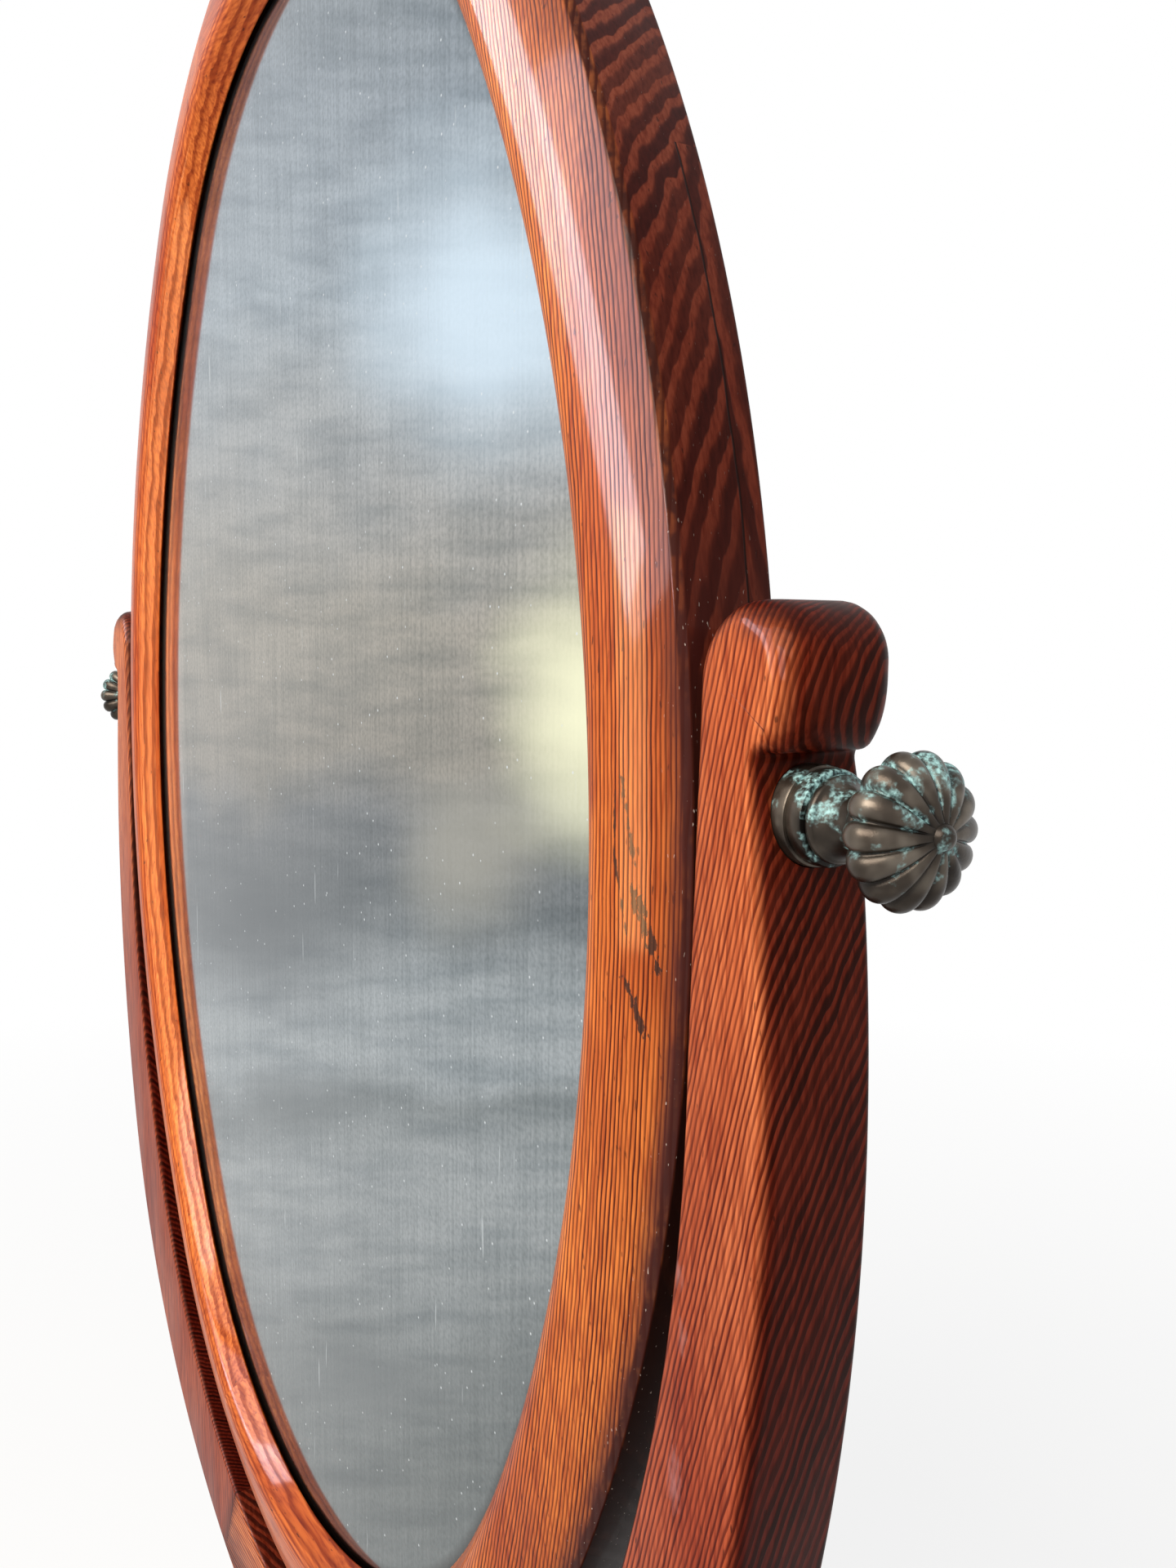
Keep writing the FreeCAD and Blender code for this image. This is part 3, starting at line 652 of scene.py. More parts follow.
# %% The bridge
pad_size = (48 * mm, 18 * mm, 12 * mm)
pad_ease = 1 * mm
joint_low = -90 - bridge_half_angle
joint_high = -90 + bridge_half_angle
inner_run = arc(yoke_end, inner_end_radius, joint_low, joint_high, steps=32)
outer_run = arc(yoke_end, outer_end_radius, joint_high, joint_low, steps=36)
bridge_rounds = [inner_ease] * len(inner_run) + [outer_ease] * len(outer_run)
bridge = eased_board("pine_bridge", inner_run + outer_run, bridge_rounds, arm_half)
pad = block((0, 0, bridge_low.z + pad_size[2] / 2), pad_size)
apply_modifier(pad, "BEVEL", width=pad_ease, segments=3)
pick(bridge)
pad.select_set(True)
bpy.ops.object.join()
store(bridge, "patina", sideways)
set_in(bridge, "stand", "pine", "yoke_bridge")

# %% [markdown]
# ## Turned stand
#
# The column, base and bun feet are turned on a lathe. In Blender a lathe is a traced half profile and a
# full spin about the upright axis. The profile is smooth where a gouge cut a curve and keeps a
# crisp step where the turner used the point of a skew chisel.

# %% Lathe
lathe_steps = 96


def lathe(name, profile, centre, axis, steps=lathe_steps, smooth_angle=35):
    """Spin a profile of points (radius, along) about an axis through a centre."""
    axis = Vector(axis)
    out = Vector((0, 0, 1)) if axis.x else Vector((1, 0, 0))
    points = [Vector(centre) + out * radius + axis * along for radius, along in profile]
    piece = trace(name, points)
    bpy.ops.mesh.spin(steps=steps, angle=2 * math.pi, center=centre, axis=axis)
    return close_shell(piece, smooth_angle)


def circle_through(a, b, c):
    """Centre and radius of the circle through three flat points."""
    (ax, ay), (bx, by), (cx, cy) = a, b, c
    area = 2 * (ax * (by - cy) + bx * (cy - ay) + cx * (ay - by))
    a2, b2, c2 = ax ** 2 + ay ** 2, bx ** 2 + by ** 2, cx ** 2 + cy ** 2
    x = (a2 * (by - cy) + b2 * (cy - ay) + c2 * (ay - by)) / area
    y = (a2 * (cx - bx) + b2 * (ax - cx) + c2 * (bx - ax)) / area
    return (x, y), math.hypot(ax - x, ay - y)


def curve_through(a, b, c, steps=12):
    """Points of the arc through three points (radius, along)."""
    centre, radius = circle_through(a, b, c)
    angles = [math.atan2(p[1] - centre[1], p[0] - centre[0]) for p in (a, b, c)]
    for index in (1, 2):
        while angles[index] - angles[index - 1] > math.pi:
            angles[index] -= 2 * math.pi
        while angles[index] - angles[index - 1] < -math.pi:
            angles[index] += 2 * math.pi
    return [
        (centre[0] + radius * math.cos(angle), centre[1] + radius * math.sin(angle))
        for angle in evenly(angles[0], angles[2], steps)
    ]


print("lathe set to", lathe_steps, "steps a turn")

# %% Column
base_low, base_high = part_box("base_disc")
column_low, column_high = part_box("column")
base_top_z = base_high.z
column_top_z = bridge_low.z
# The middle of a quarter circle lies this share of its radius across and along
quarter = math.sin(math.radians(45))
turned_patina = 0.45
foot_radius = column_high.x
neck_radius = 11 * mm
belly_radius = 21 * mm
seat_radius = 20 * mm
ring = 7 * mm
tenon_radius = 7.5 * mm
spigot_radius = 13 * mm
seat_bottom_z = column_top_z - ring
seat_lip = seat_radius - ring / 2
neck_z = seat_bottom_z - ring
belly_z = (base_top_z + ring + seat_bottom_z) / 2
waist_z = (base_top_z + ring + belly_z) / 2
column_profile = [(0, column_low.z), (spigot_radius, column_low.z), (spigot_radius, base_top_z)]
column_profile += curve_through(
    (foot_radius, base_top_z),
    (foot_radius - ring + ring * quarter, base_top_z + ring * quarter),
    (foot_radius - ring, base_top_z + ring),
)
column_profile += curve_through(
    (foot_radius - ring, base_top_z + ring),
    (neck_radius + ring * quarter, (base_top_z + ring + waist_z) / 2),
    (neck_radius, waist_z),
)[1:]
column_profile += curve_through(
    (neck_radius, waist_z), (belly_radius, belly_z), (neck_radius, neck_z), steps=20
)[1:]
column_profile += curve_through(
    (neck_radius, neck_z),
    ((neck_radius + seat_lip) / 2, neck_z + ring * quarter),
    (seat_lip, seat_bottom_z),
)[1:]
column_profile += curve_through(
    (seat_lip, seat_bottom_z), (seat_radius, seat_bottom_z + ring / 2), (seat_lip, column_top_z)
)[1:]
column_profile += [(tenon_radius, column_top_z), (tenon_radius, column_high.z), (0, column_high.z)]
column = lathe("pine_column", column_profile, (0, 0, 0), (0, 0, 1))
store(column, "patina", lambda vertex: turned_patina)
set_in(column, "stand", "pine", "column")

# %% Base and feet
edge_radius = base_high.x
step_radius = 120 * mm
edge_height = 9 * mm
step_height = 20 * mm
top_step = 2 * mm
top_round_in = 0.2 * top_step
top_round_up = 0.7 * top_step
base_arris = 1 * mm
base_steps = 160
base_profile = [
    (0, base_low.z), (edge_radius - base_arris, base_low.z), (edge_radius, base_low.z + base_arris),
]
base_profile += curve_through(
    (edge_radius, base_low.z + edge_height),
    (
        step_radius + (edge_radius - step_radius) * quarter,
        base_low.z + edge_height + (step_height - edge_height) * quarter,
    ),
    (step_radius, base_low.z + step_height),
)
base_profile += [
    (step_radius - top_round_in, base_low.z + step_height + top_round_up),
    (step_radius - top_step, base_low.z + step_height + top_step),
    (foot_radius + top_step, base_top_z),
    (0, base_top_z),
]
base = lathe("pine_base", base_profile, (0, 0, 0), (0, 0, 1), base_steps)
store(base, "patina", lambda vertex: turned_patina)
set_in(base, "stand", "pine", "base_disc")

sole_radius = 12 * mm
dowel_radius = 5 * mm
foot_patina = 0.6
foot_steps = 48
feet = []
for side in ("front_right", "front_left", "rear_right", "rear_left"):
    low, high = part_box(side + "_foot")
    centre = ((low.x + high.x) / 2, (low.y + high.y) / 2, 0)
    belly = ((high.x - low.x) / 2, base_low.z / 2)
    foot_profile = [(0, 0)]
    foot_profile += curve_through((sole_radius, 0), belly, (sole_radius, base_low.z), steps=16)
    foot_profile += [(dowel_radius, base_low.z), (dowel_radius, high.z), (0, high.z)]
    foot = lathe("pine_foot_" + side, foot_profile, centre, (0, 0, 1), foot_steps)
    store(foot, "patina", lambda vertex: foot_patina)
    set_in(foot, "stand", "pine", side + "_foot")
    feet.append(foot)

# %% [markdown]
# ## Knobs and collars
#
# The brass was cast, then turned, and the fourteen lobes of the knob were cast with it, so each lobe is
# full and round and its hollows are soft. A fluted knob can be made of one lobe copied round, but the
# seams then need welding. It is simpler to turn the plain melon with fourteen points to a lobe and
# press the hollows in, deepest at the rim and fading out at the button.

# %% Knob
knob_low, knob_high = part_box("right_knob")
knob_radius = 12.5 * mm
knob_half = 6.8 * mm
button_radius = 2.3 * mm
button_rise = 1.5 * mm
lobes = 14
steps_per_lobe = 14
lobe_fullness = 0.78
neck_x = knob_low.x
knob_x = knob_high.x - button_rise - knob_half
bead_radius = 6 * mm
bead_length = 2.2 * mm
flare_radius = 7.25 * mm
flare_length = 1.6 * mm
waist_radius = 5 * mm
flare_arris = 0.4 * mm
flare_roll_in = 0.35 * mm
flare_roll_back = 0.3 * mm
cove_start_in = 0.6 * mm
cove_start_on = 0.1 * mm
cove_shift = 0.3 * mm
cove_end_in = 0.8 * mm
bead_start_in = 0.5 * mm
bead_swell = 0.35 * mm
bead_end_in = 0.4 * mm
melon_steps = 44
button_steps = 10
ball_radius = 0.98 * button_radius


def melon_profile():
    """Half profile of the knob as (radius, x), from the neck's flat face to the tip of the button."""
    rim_start = math.acos(bead_radius / knob_radius)
    rim_end = math.acos(button_radius / knob_radius)
    melon_start_x = knob_x - knob_half * math.sin(rim_start)
    bead_x = melon_start_x - bead_length
    flare_x = neck_x + flare_length
    points = [(0, neck_x), (flare_radius - flare_arris, neck_x), (flare_radius, neck_x + flare_arris)]
    points += [(flare_radius, flare_x - flare_roll_back), (flare_radius - flare_roll_in, flare_x)]
    points += curve_through(
        (flare_radius - cove_start_in, flare_x + cove_start_on),
        (waist_radius, (flare_x + bead_x) / 2 + cove_shift),
        (bead_radius - cove_end_in, bead_x),
        steps=14,
    )
    points += curve_through(
        (bead_radius - bead_start_in, bead_x),
        (bead_radius + bead_swell, bead_x + bead_length / 2),
        (bead_radius - bead_end_in, melon_start_x),
        steps=10,
    )
    for angle in evenly(-rim_start, rim_end, melon_steps)[1:-1]:
        points.append((knob_radius * math.cos(angle), knob_x + knob_half * math.sin(angle)))
    shoulder_x = knob_x + knob_half * math.sin(rim_end)
    ball_x = knob_high.x - ball_radius
    reach = math.sqrt(max(0, ball_radius ** 2 - (ball_x - shoulder_x) ** 2))
    start = math.atan2(shoulder_x - ball_x, reach)
    for angle in evenly(start, math.pi / 2, button_steps):
        points.append((ball_radius * math.cos(angle), ball_x + ball_radius * math.sin(angle)))
    return points


knob_profile = melon_profile()
print("half profile of the knob has", len(knob_profile), "points")

# %% Press in the hollows
hollow_start = 1.6 * mm
hollow_end = 0.9 * mm
lobe_width = 0.985
hollow_sharpness = 3
neck_dirt = 0.35


def press_hollows(piece):
    """Move the melon's vertices inwards between the lobes, and keep how deep in a hollow each one is."""
    hollow = piece.data.attributes.new("hollow", "FLOAT", "POINT")
    for vertex, item in zip(piece.data.vertices, hollow.data):
        y = vertex.co.y
        z = vertex.co.z - pivot_z
        radius = math.hypot(y, z)
        along = vertex.co.x - knob_x
        if along < -knob_half or radius == 0:
            on_melon = 0
        elif along < 0:
            on_melon = ramp(bead_radius, bead_radius + hollow_start, radius)
        else:
            on_melon = ramp(button_radius, button_radius + hollow_end, radius)
        turn = math.atan2(z, y) * lobes / (2 * math.pi)
        from_crest = abs(turn - round(turn)) * 2
        sag = 1 - math.sqrt(1 - (lobe_width * from_crest) ** 2)
        depth = lobe_fullness * radius * math.pi / lobes * sag * on_melon
        slope = Vector((along / knob_half ** 2, y / knob_radius ** 2, z / knob_radius ** 2)).normalized()
        vertex.co -= slope * depth
        item.value = from_crest ** hollow_sharpness * on_melon if on_melon else neck_dirt
    piece.data.update()


right_knob = lathe(
    "brass_knob_right", knob_profile, (0, 0, pivot_z), (1, 0, 0), lobes * steps_per_lobe, smooth_angle=60
)
press_hollows(right_knob)
left_knob = flipped_copy(right_knob, "brass_knob_left", (-1, 1, 1))
set_in(right_knob, "right_knob", "aged_brass", "right_knob")
set_in(left_knob, "left_knob", "aged_brass", "left_knob")

# %% Collar
collar_radius = (collar_high.z - collar_low.z) / 2
collar_bore = 3.1 * mm
collar_length = collar_high.x - collar_low.x
band_split = 0.52 * collar_length
band_step = 0.45 * mm
second_radius = collar_radius - band_step
band_arris = 0.3 * mm
groove_lip = 0.15 * mm
groove_in = 0.25 * mm
groove_width = 0.55 * mm
front_round = 0.7 * mm
front_round_in = 0.25 * mm
front_round_back = 0.2 * mm
sunk_from = 0.2 * mm
sunk_to = 0.6 * mm
inner_end = 2.6 * mm
outer_end = 2 * mm
collar_profile = [
    (collar_bore, 0),
    (collar_radius - band_arris, 0),
    (collar_radius, band_arris),
    (collar_radius, band_split - band_arris),
    (collar_radius - groove_lip, band_split),
    (second_radius - groove_in, band_split + groove_lip),
    (second_radius, band_split + groove_width),
    (second_radius, collar_length - front_round),
    (second_radius - front_round_in, collar_length - front_round_back),
    (second_radius - front_round, collar_length),
    (collar_bore, collar_length),
    (collar_bore, 0),
]
right_collar = lathe("brass_collar_right", collar_profile, (collar_low.x, 0, pivot_z), (1, 0, 0))


def collar_hollow(vertex):
    """How much damp and dirt a place on the collar holds: most below the first band, near the outer end."""
    sunk = collar_radius - math.hypot(vertex.co.y, vertex.co.z - pivot_z)
    from_front = collar_high.x - vertex.co.x
    return ramp(sunk_from, sunk_to, sunk) * ramp(inner_end, outer_end, from_front)


store(right_collar, "hollow", collar_hollow)
left_collar = flipped_copy(right_collar, "brass_collar_left", (-1, 1, 1))
set_in(right_collar, "right_collar", "aged_brass", "right_collar")
set_in(left_collar, "left_collar", "aged_brass", "left_collar")

# %% [markdown]
# ## A helper for materials
#
# A material is a small graph. One function adds a node, sets what is fixed on it and links what is not.
# Colours are written as they look on a screen, in hex, and turned to linear light once.

# %% Node helper
def tint(code):
    """Linear colour of an sRGB hex code."""
    channels = [int(code[i:i + 2], 16) / 255 for i in (1, 3, 5)]
    return [c / 12.92 if c <= 0.04045 else ((c + 0.055) / 1.055) ** 2.4 for c in channels] + [1]


def cleared(tree):
    """Empty a graph, and return the function that adds nodes to it."""
    tree.nodes.clear()

    def add(kind, inputs=None, out=0, stops=None, **settings):
        """Add a node with its settings, set or link its inputs, and give back one of its outputs."""
        node = tree.nodes.new("ShaderNode" + kind)
        for name, value in settings.items():
            setattr(node, name, value)
        for name, value in (inputs or {}).items():
            if isinstance(value, bpy.types.NodeSocket):
                tree.links.new(value, node.inputs[name])
            else:
                node.inputs[name].default_value = value
        for index, (place, colour) in enumerate(stops or []):
            elements = node.color_ramp.elements
            element = elements[index] if index < len(elements) else elements.new(place)
            element.position = place
            element.color = tint(colour) if isinstance(colour, str) else (colour, colour, colour, 1)
        return node.outputs[out] if node.outputs else node

    return add


def new_material(name):
    """An empty material, the function that adds nodes to it, and where the surface is, in metres."""
    material = bpy.data.materials.new(name)
    material.use_nodes = True
    add = cleared(material.node_tree)
    return material, add, add("TexCoord", out="Object")


print("materials bench ready")

# %% [markdown]
# ## Pitch pine under old polish
#
# Pitch pine has narrow bands of pale early wood and dark, hard late wood. A board is a slice through these
# layers, so the material cuts the same layers with every surface: fine lines on the front, where the
# layers stand on edge, and broad slanting bands on the sides, where the knife runs nearly along them.
# Shellac has turned the wood orange and the sides, which nobody wiped, a deep red-brown.

# %% Growth layers
drift_layers = 1.6
tremble_layers = 1.0
drift_size = 55 * mm
tremble_size = 5 * mm
edge_stretch = 3


def growth_phase(add, place, slow, layer, spacing, along, bow):
    """Number of the growth layer at each place, with its part of a year behind the point.

    layer is the direction across the growth layers, or None where they follow the moulding, spacing their
    thickness, along the axis of the fibres and bow the radius in which the layers bend along the fibres.
    """
    if layer is None:
        across = add("Attribute", out="Fac", attribute_name="across")
        phase = add("Math", {0: across, 1: face_width / spacing}, operation="MULTIPLY")
        y = add("SeparateXYZ", {0: place}, "Y")
        phase = add("Math", {0: y, 1: 1 / (edge_stretch * spacing), 2: phase}, operation="MULTIPLY_ADD")
    else:
        centred = add("VectorMath", {0: place, 1: (0, 0, oval_z)}, operation="SUBTRACT")
        across_layers = Vector(layer).normalized() / spacing
        phase = add("VectorMath", {0: centred, 1: across_layers}, "Value", operation="DOT_PRODUCT")
        run = add("SeparateXYZ", {0: centred}, along.upper())
        bend = add("Math", {0: run, 1: run}, operation="MULTIPLY")
        phase = add("Math", {0: bend, 1: 1 / (2 * bow * spacing), 2: phase}, operation="MULTIPLY_ADD")
    drift = add("TexNoise", {"Vector": slow, "Scale": 1 / drift_size, "Detail": 1.0}, "Fac")
    phase = add("Math", {0: drift, 1: 2 * drift_layers, 2: phase}, operation="MULTIPLY_ADD")
    tremble = add("TexNoise", {"Vector": slow, "Scale": 1 / tremble_size, "Detail": 2.0}, "Fac")
    return add("Math", {0: tremble, 1: tremble_layers, 2: phase}, operation="MULTIPLY_ADD")


print("layers drift by", drift_layers, "and tremble by", tremble_layers, "of a year")

# %% Pine
fine_line_stops = [(0.0, 0.0), (0.34, 0.04), (0.54, 0.45), (0.68, 1.0), (0.92, 0.95), (1.0, 0.0)]
broad_line_stops = [(0.0, 0.0), (0.30, 0.05), (0.44, 0.8), (0.60, 1.0), (0.93, 0.95), (1.0, 0.0)]
lump_stretch = 4
thread_stretch = 16


def pine(name, layer, spacing, along, bow, tones, polish, marks=None):
    """Pitch pine under shellac. The eye gets fine dark lines in a glowing orange with a soft sheen.

    tones are the early and the late wood's colours on the front and then on the sides, and polish is the
    weight of the shellac on the front.
    """
    early, late, deep_early, deep_late = tones
    material, add, place = new_material(name)
    long_lump = [1 / lump_stretch if axis == along else 1 for axis in "xyz"]
    thread = [1 / thread_stretch if axis == along else 1 for axis in "xyz"]
    slow = add("VectorMath", {0: place, 1: long_lump}, operation="MULTIPLY")
    fibre = add("VectorMath", {0: place, 1: thread}, operation="MULTIPLY")

    # Each year is a pale band with a dark line, fine on the wiped front and broad on the sides
    phase = growth_phase(add, place, slow, layer, spacing, along, bow)
    from_crack = None
    if marks:
        phase, from_crack = marks["layers"](add, place, phase)
    part = add("Math", {0: phase}, operation="FRACT")
    year = add("Math", {0: phase}, operation="FLOOR")
    year_tone = add("TexWhiteNoise", {"W": year}, "Value", noise_dimensions="1D")
    unwiped = add("Attribute", out="Fac", attribute_name="patina")
    facet = add("Attribute", out="Fac", attribute_name="facet")
    fine_line = add("ValToRGB", {0: part}, stops=fine_line_stops)
    broad_line = add("ValToRGB", {0: part}, stops=broad_line_stops)
    line = add("Mix", {0: unwiped, 6: fine_line, 7: broad_line}, 2, data_type="RGBA")
    strength = add("Math", {0: year_tone, 1: 0.35, 2: 0.72}, operation="MULTIPLY_ADD")
    dark = add("Math", {0: line, 1: strength}, operation="MULTIPLY")

    # Front, sides and the worn facet between them
    front = add("Mix", {0: dark, 6: tint(early), 7: tint(late)}, 2, data_type="RGBA")
    side = add("Mix", {0: dark, 6: tint(deep_early), 7: tint(deep_late)}, 2, data_type="RGBA")
    strip = add("Mix", {0: dark, 6: tint("#B06A34"), 7: tint("#4E2012")}, 2, data_type="RGBA")
    colour = add("Mix", {0: unwiped, 6: front, 7: side}, 2, data_type="RGBA")
    dash = add("TexNoise", {"Vector": place, "Scale": 1 / (4 * mm), "Detail": 2.0}, "Fac")
    dash = add("MapRange", {0: dash, 1: 0.42, 2: 0.58, 3: 0.15, 4: 0.95})
    strip = add("Mix", {0: dash, 6: strip, 7: tint("#451A0E")}, 2, data_type="RGBA")
    colour = add("Mix", {0: facet, 6: colour, 7: strip}, 2, data_type="RGBA")

    # Clouds in the shellac, streaks along the fibres and dark resin ducts
    cloud = add("TexNoise", {"Vector": slow, "Scale": 1 / (26 * mm), "Detail": 3.0}, "Fac")
    cloud_tone = add("ValToRGB", {0: cloud}, stops=[(0.3, "#C99C8A"), (0.68, "#FFFFFF")])
    colour = add("Mix", {0: 1.0, 6: colour, 7: cloud_tone}, 2, data_type="RGBA", blend_type="MULTIPLY")
    streak = add("TexNoise", {"Vector": fibre, "Scale": 1 / (0.8 * mm), "Detail": 3.0}, "Fac")
    streak_tone = add("ValToRGB", {0: streak}, stops=[(0.3, "#C4A392"), (0.62, "#FFFFFF")])
    colour = add("Mix", {0: 1.0, 6: colour, 7: streak_tone}, 2, data_type="RGBA", blend_type="MULTIPLY")
    duct = add("TexNoise", {"Vector": slow, "Scale": 1 / (0.9 * mm), "Detail": 1.0}, "Fac")
    duct_share = add("MapRange", {0: duct, 1: 0.71, 2: 0.77, 3: 0.0, 4: 0.7})
    colour = add("Mix", {0: duct_share, 6: colour, 7: tint("#2E0F08")}, 2, data_type="RGBA")
    height = add("Math", {0: duct_share, 1: -0.8, 2: dark}, operation="MULTIPLY_ADD")
    if marks:
        colour, height = marks["surface"](add, place, colour, height, from_crack)

    # The shellac is thick on the front, thin on the sides and sunk into the dark lines
    bump = add("Bump", {"Strength": 0.2, "Distance": 0.1 * mm, "Height": height})
    rough = add("TexNoise", {"Vector": slow, "Scale": 1 / (14 * mm), "Detail": 3.0}, "Fac")
    rough = add("MapRange", {0: rough, 1: 0.3, 2: 0.7, 3: 0.36, 4: 0.5})
    coat = add("MapRange", {0: unwiped, 1: 0.0, 2: 1.0, 3: polish, 4: 0.25 * polish})
    thin = add("Math", {0: dark, 1: -0.55, 2: 1.0}, operation="MULTIPLY_ADD")
    coat = add("Math", {0: coat, 1: thin}, operation="MULTIPLY")
    shader = add("BsdfPrincipled", {
        "Base Color": colour, "Roughness": rough, "Normal": bump,
        "Coat Weight": coat, "Coat Roughness": 0.075,
        "Specular IOR Level": 0.08, "Specular Tint": tint("#D88A5A"),
    })
    add("OutputMaterial", {"Surface": shader})
    return material


print("pine ready")

# %% [markdown]
# ## Knocks and stains
#
# Beside the glass the right limb has been gouged: dark, ragged dashes that cut across the lines. Along its
# outer arris runs a stain that no cloth reached, with pale scratches, and a crack runs down its edge.
# The right arm has pale scuffs where things rubbed it, and both arms have soot on their inner sides. Each
# knock is a distance to a point or a short line on the front, made ragged with noise, so it stays in its
# place in every view.

# %% Gouges and the crack
# Gouges as start (x, z), end (x, z) and half width, in millimetres, with z from the pivot
gouges = [
    ((168.3, 3.5), (171.7, -11.7), 0.45),
    ((172.0, -16.9), (177.1, -29.7), 1.0),
    ((169.7, -33.3), (174.4, -42.6), 0.85),
    ((166.6, 1.2), (166.7, -10.7), 0.25),
    ((166.7, -10.7), (170.0, -24.6), 0.3),
]
crack_y = 5 * mm
crack_half = 0.16 * mm
crack_top_z = pivot_z + 120 * mm


def crack_layers(add, place, phase):
    """Behind the crack in the edge another lamination shows, so the layers jump and run flatter."""
    y = add("SeparateXYZ", {0: place}, "Y")
    z = add("SeparateXYZ", {0: place}, "Z")
    wander = add("TexNoise", {"Vector": place, "Scale": 1 / (20 * mm), "Detail": 2.0}, "Fac")
    from_crack = add("Math", {0: wander, 1: -1.2 * mm, 2: y}, operation="MULTIPLY_ADD")
    from_crack = add("Math", {0: from_crack, 1: crack_y - 0.6 * mm}, operation="SUBTRACT")
    below_top = add("Math", {0: z, 1: crack_top_z}, operation="LESS_THAN")
    behind = add("Math", {0: from_crack, 1: 0.0}, operation="GREATER_THAN")
    behind = add("Math", {0: behind, 1: below_top}, operation="MULTIPLY")
    flatter = add("Math", {0: z, 1: 1 / (9 * mm), 2: 0.4}, operation="MULTIPLY_ADD")
    return add("Math", {0: behind, 1: flatter, 2: phase}, operation="MULTIPLY_ADD"), from_crack


def gouge_mask(add, place):
    """1 inside a gouge, ragged at its rim, and 0 elsewhere."""
    bristle = add("VectorMath", {0: place, 1: (1, 1, 0.35)}, operation="MULTIPLY")
    ragged = add("TexNoise", {"Vector": bristle, "Scale": 1 / (0.8 * mm), "Detail": 4.0}, "Fac")
    deepest = 0.0
    for (start_x, start_z), (end_x, end_z), half_width in gouges:
        start = Vector((start_x * mm, 0, start_z * mm + pivot_z))
        run = Vector(((end_x - start_x) * mm, 0, (end_z - start_z) * mm))
        flat = add("VectorMath", {0: place, 1: start}, operation="SUBTRACT")
        flat = add("VectorMath", {0: flat, 1: (1, 0, 1)}, operation="MULTIPLY")
        share = add("VectorMath", {0: flat, 1: run / run.length_squared}, "Value", operation="DOT_PRODUCT")
        share = add("Clamp", {0: share})
        foot = add("VectorMath", {0: run, "Scale": share}, operation="SCALE")
        gap = add("VectorMath", {0: flat, 1: foot}, "Value", operation="DISTANCE")
        spread = 6 * half_width * mm
        width = add("Math", {0: ragged, 1: spread, 2: -0.35 * spread}, operation="MULTIPLY_ADD")
        inside = add("Math", {0: width, 1: gap}, operation="SUBTRACT")
        mask = add("MapRange", {0: inside, 1: -0.1 * mm, 2: 0.25 * mm, 3: 0.0, 4: 0.92})
        deepest = add("Math", {0: mask, 1: deepest}, operation="MAXIMUM")
    return deepest


print(len(gouges), "gouges and a crack")


